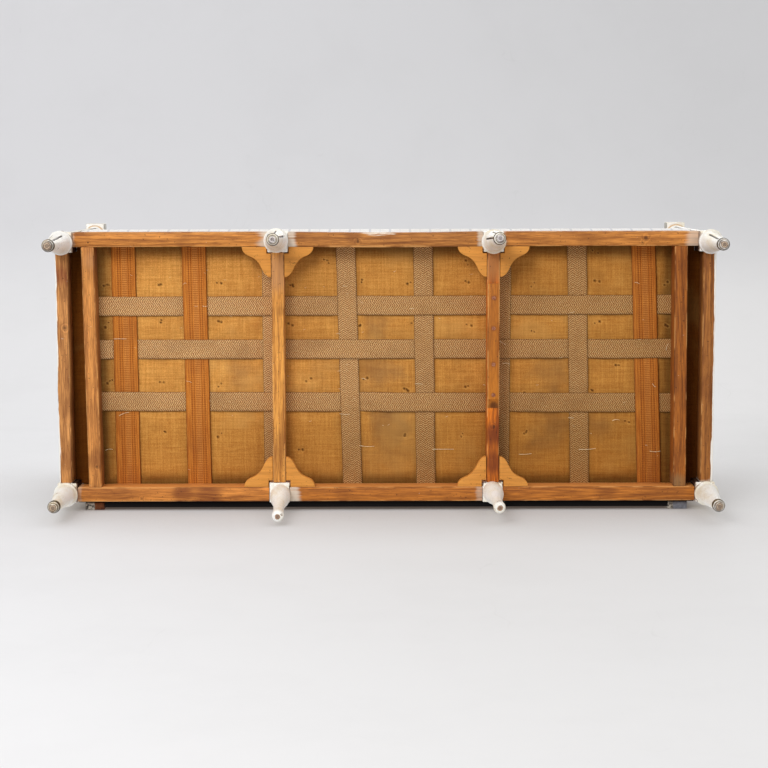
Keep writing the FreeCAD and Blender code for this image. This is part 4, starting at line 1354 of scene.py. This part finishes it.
def burlap_finish(name, deep, middle, pale, clouds=()):
    material, w, shader = start_finish(name, roughness=0.92, specular=0.08)
    at = place_of(w)
    axes = split(at)
    wobble = cloudy(stretched(at, (9, 9, 1)), 1.0, 3.0) * 0.012
    warp_threads = wave(axes[0] + wobble, 0.0031)
    weft_threads = wave(axes[1] + wobble, 0.0033)
    slubs_x = cloudy(stretched(at, (300, 11, 1)), 1.0, 2.0, 0.6)
    slubs_y = cloudy(stretched(at, (11, 300, 1), (3, 1, 0)), 1.0, 2.0, 0.6)
    fuzz = cloudy(stretched(at, (380, 380, 1)), 1.0, 2.0, 0.7)
    weave = warp_threads * 0.15 + weft_threads * 0.15
    weave = weave + slubs_x * 0.20 + slubs_y * 0.20 + fuzz * 0.30
    colour = ramp(rise(weave, 0.30, 0.70), (0.0, deep), (1.0, pale), (0.5, middle))
    colour = clouded(colour, at, axes, clouds)
    blot = rise(cloudy(stretched(at, (7, 7, 1), (1.3, 7.2, 0)), 1.0, 4.0, 0.62), 0.50, 0.72)
    colour = blend(colour, shade(150, 96, 44), blot * 0.35)
    bleach = rise(cloudy(stretched(at, (5, 6, 1), (8.3, 2.2, 0)), 1.0, 3.0, 0.6), 0.52, 0.70)
    colour = blend(colour, shade(230, 178, 104), bleach * 0.35)
    colour = dulled(soiled_and_shaded(colour, axes, 1.0), rail_shade(axes, blot), (0.0, 0.0, 0.0))
    # Painted shade inside each tie's hole, and a faint painted highlight round its rim.
    pit = point_number(w, "pit")
    rim_light = rise(pit, 0.04, 0.14) * (1 - rise(pit, 0.18, 0.36))
    colour = blend(colour, pale, rim_light * 0.15)
    colour = blend(colour, shade(80, 42, 14), rise(pit, 0.15, 0.95) * 0.85)
    feed(shader, Base_Color=colour, Normal=relief(weave, 0.0012, 0.8))
    return material


burlap = burlap_finish(
    "burlap_weave", shade(166, 102, 42), shade(216, 148, 70), shade(248, 190, 104), CLOUDS,
)
# A darker copy of the burlap: painted shade for the dim side gaps.
shaded_gap_burlap = burlap_finish(
    "gap_burlap_weave", shade(122, 62, 12), shade(168, 94, 28), shade(194, 118, 44),
)
print("burlap finishes made")

# %% [markdown]
# Twine ties hold the stuffing to the burlap, and each pulls the cloth into a pair of small holes, or
# three. The ties stand in rough rows. A random draw spreads the holes of each tie, turns them and
# gives each its own reach, always in the same order, so that every run makes the same cloth.

# %% Where the ties are
TIES = (
    (-0.641, -0.238), (-0.471, -0.241), (-0.640, -0.133), (-0.470, -0.133), (-0.637, 0.038),
    (-0.472, 0.047), (-0.633, 0.182), (-0.474, 0.191), (-0.168, -0.305), (-0.070, -0.245),
    (0.230, -0.245), (-0.265, -0.237), (-0.073, -0.120), (0.078, -0.131), (0.236, -0.123),
    (-0.219, 0.033), (-0.058, 0.031), (0.057, 0.060), (0.231, 0.054), (-0.243, 0.234),
    (0.051, 0.192), (0.217, 0.192), (0.414, -0.238), (0.598, -0.247), (0.415, -0.108),
    (0.599, -0.130), (0.654, -0.010), (0.388, 0.075), (0.584, 0.064), (0.397, 0.184),
    (0.688, 0.153), (0.066, -0.242), (0.792, -0.240), (0.792, -0.121), (-0.785, 0.038),
    (-0.790, -0.125), (-0.790, -0.238), (-0.270, -0.125), (0.230, -0.300), (0.592, -0.330),
)

chance = random.Random(11)
tie_holes = []
for tie_x, tie_y in TIES:
    spread = chance.uniform(0.004, 0.009)
    turn = chance.uniform(-1.2, 0.9)
    for side in chance.choice(((-1, 1), (-1, 1), (-1, 0.3, 1.3), (0, 1))):
        aside = chance.uniform(-0.003, 0.003)
        hole_x = tie_x + side * spread * math.cos(turn) - aside * math.sin(turn)
        hole_y = tie_y + side * spread * math.sin(turn) + aside * math.cos(turn)
        tie_holes.append((hole_x, hole_y, chance.uniform(0.0026, 0.0048)))
print(len(TIES), "ties with", len(tie_holes), "holes")

# %% [markdown]
# The stuffing makes the burlap belly out a little between the straps. A fine grid is moved by simple
# rules: flat near a strap or a rail, a soft swell in the middle of each opening, a shallow dimple at
# each tie, and a few long creases. A crease is a small ridge with a valley beside it, bent a little
# and fading towards its ends. The holes themselves are only painted, from the number `pit`: painted
# shade inside each hole and a faint painted highlight round its rim.

# %% How the burlap bellies
CREASES = (
    (-0.612, 0.239, 0.030), (-0.443, 0.234, 0.030), (-0.616, 0.127, 0.026), (-0.450, 0.127, 0.024),
    (0.051, 0.205, 0.03), (-0.060, 0.126, 0.04), (0.48, -0.30, 0.03), (-0.246, 0.244, 0.012),
    (0.545, 0.045, 0.03),
)
OPEN_X, OPEN_FRONT, OPEN_REAR = 0.811, 0.350, 0.331
SLOPE_LENGTH = 0.030


def nearness_to_straps(x, y):
    """1 under a strap or at a rail, falling to 0 some way from them."""
    gap = min(OPEN_X - abs(x), y + OPEN_FRONT, OPEN_REAR - y)
    for n, (place, slope) in enumerate(zip(SHORT_PLACES, SHORT_SLOPES)):
        gap = min(gap, abs(x - place - slope * (y - middle_y)) - short_width(n) / 2)
    for place, slope in zip(LONG_PLACES, LONG_SLOPES):
        gap = min(gap, abs(y - place - slope * x) - JUTE_WIDTH / 2)
    share = max(0.0, min(1.0, gap / SLOPE_LENGTH))
    return 1 - share * share * (3 - 2 * share)


def crease_height(x, y, crease_x, crease_y, length):
    along, off = (x - crease_x) / length, y - crease_y
    off += 0.25 * length * along ** 2
    if abs(along) >= 1.2 or abs(off) >= 0.02:
        return 0.0
    ridge = 0.0030 * math.exp(-((off / 0.0035) ** 2))
    valley = 0.0022 * math.exp(-(((off + 0.007) / 0.004) ** 2))
    return (ridge - valley) * math.exp(-(along ** 4) * 2)


def belly_at(x, y):
    """How far the burlap hangs below its own top, in metres."""
    free = 1 - nearness_to_straps(x, y)
    lumps = noise.fractal(Vector((x * 13, y * 13, 3.3)), 1.0, 2.0, 4)
    belly = free * (0.0046 + 0.0020 * lumps)
    for tie_x, tie_y in TIES:
        apart = math.hypot((x - tie_x) * 0.8, (y - tie_y) * 1.2)
        if apart < 0.05:
            belly -= 0.0034 * math.exp(-((apart / 0.013) ** 2))
    for crease in CREASES:
        belly += crease_height(x, y, *crease)
    return min(max(belly, 0.0), 0.0068)


def pit_at(x, y):
    """1 in the middle of a tie's hole, falling to 0 around it."""
    pit = 0.0
    for hole_x, hole_y, reach in tie_holes:
        apart = math.hypot(x - hole_x, y - hole_y)
        if apart < 0.016:
            pit = max(pit, math.exp(-((apart / reach) ** 2)))
    return pit


# %% [markdown]
# The sheet is made from the size of its CAD solid, so its flat size is known: the cloth is stretched
# and tacked on the inner side rails. The grid is fine enough for each tie to show.

# %% Burlap sheet
low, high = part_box("burlap_sheet")
BURLAP_HIGH = high.z - 0.0006
BURLAP_THICKNESS = 0.0006
bm = bmesh.new()
size_x, size_y = high.x - low.x, high.y - low.y
bmesh.ops.create_grid(bm, x_segments=420, y_segments=180, size=0.5)
pit_layer = bm.verts.layers.float.new("pit")
for v in bm.verts:
    x = (low.x + high.x) / 2 + v.co.x * size_x
    y = (low.y + high.y) / 2 + v.co.y * size_y
    v[pit_layer] = pit_at(x, y)
    v.co = (x, y, BURLAP_HIGH - belly_at(x, y))
sheet = make_piece("burlap_cloth", bm, burlap, ["burlap_sheet"], 180)
thicken(sheet, BURLAP_THICKNESS)
print("burlap laid,", round(size_x, 3), "by", round(size_y, 3), "m")

# %% [markdown]
# Twine shows in each hole of a tie as a small dark stitch, and wisps of pale straw have worked
# through the burlap. Both are fine fibres, so noise at the size of a fibre is enough for their
# finishes.

# %% Twine and straw finishes
twine, w, shader = start_finish("dark_twine", roughness=0.9, specular=0.1)
twist = cloudy(stretched(place_of(w), (900, 900, 900)), 1.0, 2.0)
feed(shader, Base_Color=ramp(twist, (0.3, shade(48, 27, 12)), (0.7, shade(96, 58, 28))))
straw_finish, w, shader = start_finish("pale_straw", roughness=0.5, specular=0.4)
sheen = cloudy(stretched(place_of(w), (300, 300, 300)), 1.0, 2.0)
feed(shader, Base_Color=ramp(sheen, (0.3, shade(226, 196, 140)), (0.7, shade(250, 236, 200))))
print("twine and straw finishes made")

# %% [markdown]
# A stitch and a straw have one form: a thin rod that tapers towards one end, cut into a few lengths
# and bowed by moving its middle. It lies flat on the cloth, turned its own way.

# %% Stitches
def is_long(edge, length):
    return abs(edge.verts[0].co.z - edge.verts[1].co.z) > length / 2


def sliver(bm, middle, length, thickness, turn, bow):
    """A thin bent rod that lies along the cloth."""
    made = bmesh.ops.create_cone(
        bm, cap_ends=True, segments=6, radius1=thickness / 2, radius2=thickness / 3, depth=length,
    )["verts"]
    sides = list({e for v in made for e in v.link_edges if is_long(e, length)})
    bmesh.ops.subdivide_edges(bm, edges=sides, cuts=5)
    fresh = new_verts(bm)
    for v in fresh:
        share = v.co.z / length * 2
        v.co = (v.co.z, v.co.x + bow * (1 - share * share), v.co.y)
    bmesh.ops.rotate(bm, cent=(0, 0, 0), matrix=Matrix.Rotation(turn, 3, "Z"), verts=fresh)
    bmesh.ops.translate(bm, vec=middle, verts=fresh)


bm = bmesh.new()
for hole_x, hole_y, reach in tie_holes:
    spot = (hole_x, hole_y, BURLAP_HIGH - 0.0026)
    sliver(bm, spot, chance.uniform(0.003, 0.006), 0.0015, chance.uniform(0, math.pi), 0.0008)
make_piece("tie_stitches", bm, twine, (), 60)
print(len(tie_holes), "stitches made")

# %% [markdown]
# The longer straws lie where the photograph shows them, each as (x, y, length, turn). Sixty more
# are tiny and lie anywhere.

# %% Straw
SMALL_STRAWS = 60
STRAWS = (
    (-0.567, -0.241, 0.010, -0.35), (-0.746, 0.129, 0.030, -0.35), (-0.559, 0.037, 0.016, 0.3),
    (-0.062, 0.030, 0.014, 0.3), (0.094, 0.045, 0.024, 0.05), (-0.054, 0.222, 0.042, 0.05),
    (0.163, 0.232, 0.060, 0.0), (-0.135, -0.098, 0.010, 0.1), (-0.117, 0.130, 0.030, 0.05),
    (0.324, -0.075, 0.036, 0.5), (0.341, -0.012, 0.020, 0.05), (0.397, 0.246, 0.036, -0.05),
    (0.574, 0.232, 0.048, -0.05), (0.768, 0.239, 0.030, 0.0), (-0.511, -0.179, 0.013, 0.0),
    (-0.753, -0.086, 0.036, 0.0), (0.074, -0.169, 0.012, 0.0), (-0.115, -0.234, 0.012, 0.2),
    (0.710, -0.241, 0.014, 0.3), (0.527, -0.159, 0.014, -0.3), (0.798, -0.059, 0.020, -1.3),
    (-0.790, 0.232, 0.022, -0.1), (0.527, 0.142, 0.016, 0.05), (0.655, 0.150, 0.020, -0.1),
    (0.763, 0.050, 0.014, 0.8),
)
bm = bmesh.new()
for x, y, length, turn in STRAWS:
    sliver(bm, (x, y, SEAT_TOP - 0.0016), length, 0.0016, turn, chance.uniform(-0.003, 0.002))
for n in range(SMALL_STRAWS):
    spot = (chance.uniform(-0.79, 0.79), chance.uniform(-0.33, 0.315), SEAT_TOP - 0.0012)
    sliver(bm, spot, chance.uniform(0.003, 0.009), 0.0009, chance.uniform(-0.6, 0.6), 0.0004)
make_piece("straw_wisps", bm, straw_finish, (), 60)
print(len(STRAWS) + SMALL_STRAWS, "straws made")

# %% [markdown]
# The cover is white cotton with narrow blue-grey stripes. The stripes run from the front of the
# seat to the back and up the back, so the pattern depends only on X there. On the side pads they
# stand upright, so it depends on Y. A fine weave and soft creases finish the cloth.

# %% Striped cover
STRIPE_PITCH = 0.057


def striped_cover(name, axis):
    material, w, shader = start_finish(name, roughness=0.85, specular=0.15)
    at = place_of(w)
    across = split(at)[axis] + cloudy(stretched(at, (6, 6, 6)), 1.0, 2.0) * 0.003
    stripe = rise(wave(across, STRIPE_PITCH), 0.955, 0.985)
    hair = rise(wave(across + STRIPE_PITCH / 2, STRIPE_PITCH), 0.9945, 0.9975)
    weave = cloudy(stretched(at, (900, 900, 900)), 1.0, 1.0)
    colour = ramp(rise(weave, 0.3, 0.7), (0.0, shade(230, 225, 218)), (1.0, shade(245, 243, 240)))
    colour = blend(colour, shade(164, 168, 180), stripe * 0.4)
    colour = blend(colour, shade(186, 190, 200), hair * 0.3)
    aged = rise(cloudy(stretched(at, (3, 3, 3)), 1.0, 4.0), 0.45, 0.75)
    colour = blend(colour, shade(214, 200, 176), aged * 0.25)
    shader.inputs["Sheen Weight"].default_value = 0.15
    soft = cloudy(stretched(at, (18, 18, 18)), 1.0, 3.0)
    feed(shader, Base_Color=colour, Normal=relief(weave * 0.3 + soft, 0.0010, 0.5))
    return material


seat_cover = striped_cover("striped_cover_x", ALONG_X)
side_cover = striped_cover("striped_cover_y", ALONG_Y)
print("striped covers made")

# %% [markdown]
# The pads are stuffed, so their cloth is tight and swells between the edges where it is tacked
# down. Each starts as a copy of its CAD solid, a few millimetres smaller, and gets an even net of
# faces. `settle` turns what a modifier makes into the pad's own mesh.

# %% Copies of the pads
PAD_SHRINK = 0.003


def pad_copy(node, name, finish):
    source = nodes[node].data.copy()
    bm = bmesh.new()
    bm.from_mesh(source)
    bmesh.ops.remove_doubles(bm, verts=bm.verts, dist=1e-5)
    low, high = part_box(node)
    middle = (low + high) / 2
    size = high - low
    factors = [1 - 2 * PAD_SHRINK / size[n] for n in range(3)]
    bmesh.ops.translate(bm, vec=-middle, verts=bm.verts)
    bmesh.ops.scale(bm, vec=factors, verts=bm.verts)
    bmesh.ops.translate(bm, vec=middle, verts=bm.verts)
    return make_piece(name, bm, finish, [node], 180)


def settle(piece):
    """Keep what the modifiers make, and remove them."""
    graph = bpy.context.evaluated_depsgraph_get()
    done = bpy.data.meshes.new_from_object(piece.evaluated_get(graph))
    for material in piece.data.materials:
        if material.name not in [m.name for m in done.materials if m]:
            done.materials.append(material)
    piece.modifiers.clear()
    piece.data = done
    for face in done.polygons:
        face.use_smooth = True


# %% [markdown]
# The cloth solver then blows each pad up a little, as air would a cushion. Stuffing stops the cloth
# from sinking in, so inward motion is cut to a tenth, and no point moves further than a cap or
# leaves the pad's own space, where it lies on wood and webbing. The seat's front edge is tacked to
# the front rail, so the points near it are held, and the motion grows behind them.

# %% Plumping the pads
PRESSURE, FRAMES = 4.0, 20


def plump(piece, node, voxel, cap, tacked=0.0):
    """Swell a pad; its points are held as far as `tacked` behind its front."""
    net = piece.modifiers.new("even net", "REMESH")
    net.mode = "VOXEL"
    net.voxel_size = voxel
    settle(piece)
    start = [(v.co.copy(), v.normal.copy()) for v in piece.data.vertices]
    cloth = piece.modifiers.new("cover", "CLOTH")
    cloth.settings.quality = 4
    cloth.settings.mass = 0.3
    cloth.settings.tension_stiffness = 15
    cloth.settings.compression_stiffness = 15
    cloth.settings.bending_stiffness = 1.0
    cloth.settings.use_pressure = True
    cloth.settings.uniform_pressure_force = PRESSURE
    cloth.settings.effector_weights.gravity = 0
    for number in range(1, FRAMES + 1):
        bpy.context.scene.frame_set(number)
    settle(piece)
    bpy.context.scene.frame_set(1)
    low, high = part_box(node)
    for v, (was, outward) in zip(piece.data.vertices, start):
        moved = v.co - was
        moved -= outward * min(moved.dot(outward), 0.0) * 0.9
        if tacked:
            moved *= min(max((was.y - low.y - tacked) / tacked, 0.0), 1.0)
        v.co = was + moved * min(1.0, cap / max(moved.length, 1e-6))
        for n in range(3):
            v.co[n] = min(max(v.co[n], low[n]), high[n])
    smoother = piece.modifiers.new("finer net", "SUBSURF")
    smoother.levels = smoother.render_levels = 1
    settle(piece)
    print(piece.name, "has", len(piece.data.vertices), "points")


plump(pad_copy("seat_pad", "seat_cushion", seat_cover), "seat_pad", 0.012, 0.012, tacked=0.03)
plump(pad_copy("back_pad", "back_cushion", seat_cover), "back_pad", 0.011, 0.010)
for place in ("left", "right"):
    node = "side_pad_" + place
    plump(pad_copy(node, "side_cushion_" + place, side_cover), node, 0.009, 0.008)

# %% [markdown]
# Linings close the outside of the back and the sides. The back's is near-black cotton, dark cloth
# with painted shade in its colour, for the deep shade under the rear rail, and the sides have the
# striped cover. The linings are thin sheets, pulled tight between the rails, with slight ripples.
# The ripples are smaller than the CAD solid is thick, so that the sheet stays inside it.

# %% Linings
LINING_THICKNESS = 0.0008
lining, w, shader = start_finish("dark_lining", roughness=0.9, specular=0.1)
at = place_of(w)
threads = wave(split(at)[0], 0.0016) * 0.5 + wave(split(at)[2], 0.0018) * 0.5
faded = cloudy(stretched(at, (4, 4, 4)), 1.0, 4.0)
# Near-black: dark cloth, with painted shade in its colour.
feed(
    shader,
    Base_Color=ramp(threads * 0.4 + faded * 0.6, (0.3, shade(10, 9, 10)), (0.75, shade(24, 22, 22))),
    Normal=relief(threads, 0.0004, 0.5),
)


def tight_sheet(name, node, finish, thin_axis):
    """A sheet just inside the first face of its CAD solid, with ripples that stay inside it."""
    low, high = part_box(node)
    middle = [(low[n] + high[n]) / 2 for n in range(3)]
    size = [high[n] - low[n] for n in range(3)]
    plane = low[thin_axis] + 0.00065
    long_axis, tall_axis = [n for n in range(3) if n != thin_axis]
    bm = bmesh.new()
    bmesh.ops.create_grid(bm, x_segments=120, y_segments=40, size=0.5)
    for v in bm.verts:
        spot = [0.0, 0.0, 0.0]
        spot[long_axis] = middle[long_axis] + v.co.x * size[long_axis]
        spot[tall_axis] = middle[tall_axis] + v.co.y * size[tall_axis]
        spot[thin_axis] = plane + 0.0002 * noise.noise(Vector(spot) * 8)
        v.co = spot
    piece = make_piece(name, bm, finish, [node], 180)
    thicken(piece, LINING_THICKNESS)


tight_sheet("back_lining", "outside_back_cloth", lining, 1)
tight_sheet("side_lining_left", "outside_side_cloth_left", side_cover, 0)
tight_sheet("side_lining_right", "outside_side_cloth_right", side_cover, 0)
print("linings laid")

# %% [markdown]
# Behind the back's lining lies a padded middle that bulges a little between the battens. It is a box
# whose rear face is rounded off towards its edges, with a slight unevenness. It has the same
# near-black finish, with its painted shade.

# %% Back padding
bm = bmesh.new()
low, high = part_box("outside_back_cloth")
half_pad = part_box("rear_batten_right")[0].x - 0.0015
pad_low, pad_high = low.z + 0.0005, high.z - 0.0005
pad_front, pad_back = low.y + 0.0016, high.y
bmesh.ops.create_cube(bm, size=1.0)
bmesh.ops.subdivide_edges(bm, edges=bm.edges[:], cuts=31, use_grid_fill=True)
for v in bm.verts:
    x, z = v.co.x * 2, v.co.z * 2
    round_off = (1 - min(abs(x), 1.0) ** 14) * (1 - min(abs(z), 1.0) ** 10)
    uneven = 0.0006 * (1 + noise.noise(Vector((x * 5, z * 3, 2))))
    thick = (pad_back - pad_front) * (0.86 + 0.14 * round_off ** 0.5) - uneven
    height = (pad_low + pad_high) / 2 + z * (pad_high - pad_low) / 2
    v.co = (x * half_pad, pad_front + (v.co.y + 0.5) * thick, height)
padding = make_piece("back_padding", bm, lining, ["outside_back_cloth"], 50)
print("back padding made,", round(pad_back - pad_front, 4), "m thick")

# %% [markdown]
# Strips of burlap close the narrow gaps between the outer and the inner side rails. Each narrows at
# both ends to clear the leg blocks, so its first and last rows have places of their own. Their burlap
# is a darker copy, painted shade for the dim gaps.

# %% Burlap in the side gaps
ROWS = 80
FRONT_ROWS, REAR_ROWS = (-0.3465, -0.3332), (0.3168, 0.3275)
MIDDLE_START, MIDDLE_LENGTH = -0.3326, 0.6488
GAP_X, GAP_WIDTH, GAP_HEIGHT = 0.8645, 0.058, 0.3085
BLOCK_CLEAR_X = 0.8712
for side, place in ((-1, "left"), (1, "right")):
    bm = bmesh.new()
    bmesh.ops.create_grid(bm, x_segments=8, y_segments=ROWS, size=0.5)
    for v in bm.verts:
        row = round((v.co.y + 0.5) * ROWS)
        x = side * GAP_X + v.co.x * GAP_WIDTH
        if row < 2:
            y = FRONT_ROWS[row]
        elif row > ROWS - 2:
            y = REAR_ROWS[row - ROWS + 1]
        else:
            y = MIDDLE_START + (row - 2) / (ROWS - 4) * MIDDLE_LENGTH
        if row < 2 or row > ROWS - 2:
            x = side * min(abs(x), BLOCK_CLEAR_X)
        v.co = (x, y, GAP_HEIGHT + 0.0010 * noise.noise(Vector((x * 30, y * 12, 1))))
    strip = make_piece("side_gap_burlap_" + place, bm, shaded_gap_burlap, (), 180)
    "side_rail_" + place
print("gaps closed")

# %% [markdown]
# The floors are seen only by the camera, and only from their front, so that they never shade the
# sofa and vanish in views from behind. Half of what the camera sees is the floor's own light and
# shadow, and half is its written colour, which keeps the pale tone even. That colour holds painted
# light: on the studio floor it is paler on the left, and on the floor than on the wall, and on both
# floors a painted shadow darkens it near the sofa.

# %% A floor's finish
WORN = shade(150, 148, 146)


def studio_floor(name, near_left, near_right, far_left, far_right):
    """A floor that keeps half of its own light and shadow, and shows the camera its written colour
    with painted light and a painted shadow in it.
    """
    material, w, shader = start_finish(name, roughness=0.6, specular=0.15)
    at = place_of(w)
    axes = split(at)
    worn = cloudy(stretched(at, (2.4, 2.4, 2.4)), 1.0, 5.0, 0.65)
    line_noise = cloudy(stretched(at, (3.5, 3.5, 1.1), (2, 0, 5)), 1.0, 2.0, 0.5, 0.8)
    scratch = 1 - rise(size_of(line_noise - 0.5), 0.0, 0.0022)
    # Painted light: the written colour runs between the shades given, left to right and floor to wall.
    near = blend(near_left, near_right, rise(axes[0], -1.05, 0.35))
    far = blend(far_left, far_right, rise(axes[0], -2.1, 1.9))
    written = blend(far, near, rise(axes[1], -0.40, 0.12))
    marks = rise(worn, 0.42, 0.68) * 0.030 + scratch * rise(worn, 0.50, 0.60) * 0.05
    written = blend(written, WORN, marks)
    feed(shader, Base_Color=blend(shade(226, 225, 225), WORN, marks))
    # Painted shadow: ambient occlusion darkens the written colour near the sofa.
    ao_for_painted_shadow = w.node("ShaderNodeAmbientOcclusion", {"samples": 6}, {"Distance": 0.62}, "AO")
    written = blend(shade(112, 98, 88), written, ao_for_painted_shadow)
    glow = w.node("ShaderNodeEmission", None, {"Color": written, "Strength": 1.0})
    seen = w.node("ShaderNodeLightPath", output="Is Camera Ray")
    body = Wire(material.node_tree, shader.outputs[0])
    mixed = w.node("ShaderNodeMixShader", None, {0: seen * 0.5, 1: body, 2: glow})
    behind = w.node("ShaderNodeNewGeometry", output="Backfacing")
    clear = w.node("ShaderNodeBsdfTransparent")
    both = w.node("ShaderNodeMixShader", None, {0: behind, 1: mixed, 2: clear})
    output = material.node_tree.nodes["Material Output"]
    material.node_tree.links.new(both.socket, output.inputs["Surface"])
    return material


def stage_piece(name, bm, material):
    mesh = bpy.data.meshes.new(name)
    bm.to_mesh(mesh)
    bm.free()
    for face in mesh.polygons:
        face.use_smooth = True
    mesh.materials.append(material)
    piece = bpy.data.objects.new(name, mesh)
    bpy.context.scene.collection.objects.link(piece)
    piece.visible_shadow = False
    piece.visible_diffuse = False
    piece.visible_glossy = False
    piece.visible_transmission = False


# %% [markdown]
# The studio floor is the plane that the back rests on, which sweeps up behind into a wall. Its
# section is a line, a quarter turn and a line, pulled out along X. A second, level floor serves the
# upright views in the same way.

# %% Floors
FLOOR_REACH = 9.0
SWEEP_START, SWEEP_RADIUS, SWEEP_STEPS = 2.4, 2.2, 24
FLOOR_Y = cad_high.y + 0.0005
line = [(FLOOR_Y, -FLOOR_REACH), (FLOOR_Y, SWEEP_START)]
for n in range(1, SWEEP_STEPS + 1):
    turn = math.pi / 2 * n / SWEEP_STEPS
    y = FLOOR_Y - SWEEP_RADIUS * (1 - math.cos(turn))
    line.append((y, SWEEP_START + SWEEP_RADIUS * math.sin(turn)))
line.append((FLOOR_Y - FLOOR_REACH, SWEEP_START + SWEEP_RADIUS))
bm = bmesh.new()
chain = [bm.verts.new((-FLOOR_REACH, y, z)) for y, z in line]
edges = [bm.edges.new(pair) for pair in zip(chain, chain[1:])]
pulled = bmesh.ops.extrude_edge_only(bm, edges=edges)
bmesh.ops.translate(bm, vec=(2 * FLOOR_REACH, 0, 0), verts=pushed_verts(pulled))
bm.faces.ensure_lookup_table()
bm.normal_update()
if bm.faces[0].normal.y > 0:
    bmesh.ops.reverse_faces(bm, faces=bm.faces)
photo_shades = [
    shade(244, 244, 246), shade(230, 229, 228), shade(228, 228, 232), shade(202, 202, 204),
]
stage_piece("photo_floor", bm, studio_floor("photo_floor_finish", *photo_shades))

bm = bmesh.new()
bmesh.ops.create_grid(bm, x_segments=1, y_segments=1, size=FLOOR_REACH)
bmesh.ops.translate(bm, vec=(0, 0, -0.0005), verts=bm.verts)
plain_shades = [shade(232, 232, 232)] * 4
stage_piece("level_floor", bm, studio_floor("level_floor_finish", *plain_shades))
print("floors laid, the studio floor at y =", round(FLOOR_Y, 4))

# %% [markdown]
# Soft light comes from one large key lamp, beside the camera and in front of the sofa, which in the
# photograph is from above and a little to the left. Two weaker ones fill the sides, and two more
# light the top and the rear for upright views.

# %% Lamps
def lamp(name, place, aim, size, watts):
    data = bpy.data.lights.new(name, "AREA")
    data.shape = "DISK"
    data.size = size
    data.energy = watts
    made = bpy.data.objects.new(name, data)
    made.location = place
    made.rotation_euler = (Vector(aim) - Vector(place)).to_track_quat("-Z", "Y").to_euler()
    bpy.context.scene.collection.objects.link(made)


lamp("key_lamp", (-1.7, -2.9, -4.3), (0, 0, 0.25), 2.2, 150)
lamp("soft_lamp_left", (-3.4, -3.0, -1.6), (0, 0, 0.3), 1.6, 26)
lamp("soft_lamp_right", (3.4, -3.0, -1.4), (0, 0, 0.3), 1.6, 20)
lamp("top_fill", (0.5, -1.5, 5.0), (0, 0, 0.4), 2.6, 60)
lamp("rear_fill", (-1.0, 5.0, 2.5), (0, 0, 0.4), 2.6, 70)
print("lamps hung")

# %% [markdown]
# The sky is a plain pale grey that lights the sofa evenly from all sides. Only the camera sees its
# slight gradient, darker from left to right, which is painted light.

# %% Sky
world = bpy.data.worlds.new("pale_studio")
bpy.context.scene.world = world
world.use_nodes = True
w = Wire(world.node_tree)
background = world.node_tree.nodes["Background"]
direction = w.node("ShaderNodeTexCoord", output="Generated")
seen = w.node("ShaderNodeLightPath", output="Is Camera Ray")
to_right = rise(split(direction)[0], -0.25, 0.25)
# Painted light: the backdrop that the camera sees darkens from left to right.
pale = ramp(to_right, (0.0, shade(224, 224, 227)), (1.0, shade(208, 208, 211)))
sky = blend((0.60, 0.60, 0.61, 1), pale, seen)
world.node_tree.links.new(sky.socket, background.inputs["Color"])
background.inputs["Strength"].default_value = 1.0
print("sky made")

# %% [markdown]
# The camera stands about a metre above the studio floor and five metres from the seat's underside,
# pitched down by six and a half degrees. "Down" is +Y here, because the sofa lies on its back. The
# picture's tilt of about an eighth of a degree is kept.

# %% Camera
PITCH, ROLL = math.radians(6.5), math.radians(0.13)
SENSOR_MM, LENS_MM = 36.0, 87.28
EYE = (-0.0053, -0.5546, -4.9535)
camera_data = bpy.data.cameras.new("photo_camera")
camera_data.sensor_width = SENSOR_MM
camera_data.lens = LENS_MM
camera = bpy.data.objects.new("photo_camera", camera_data)
forward = Vector((0, math.sin(PITCH), math.cos(PITCH)))
level_right = Vector((1, 0, 0))
level_up = Vector((0, -math.cos(PITCH), math.sin(PITCH)))
right = level_right * math.cos(ROLL) - level_up * math.sin(ROLL)
up = level_right * math.sin(ROLL) + level_up * math.cos(ROLL)
turn = Matrix((right, up, -forward)).transposed()
camera.matrix_world = Matrix.Translation(EYE) @ turn.to_4x4()
bpy.context.scene.collection.objects.link(camera)
bpy.context.scene.camera = camera
bpy.context.scene.view_settings.view_transform = "Standard"
print("camera stands at", EYE, "and looks up")
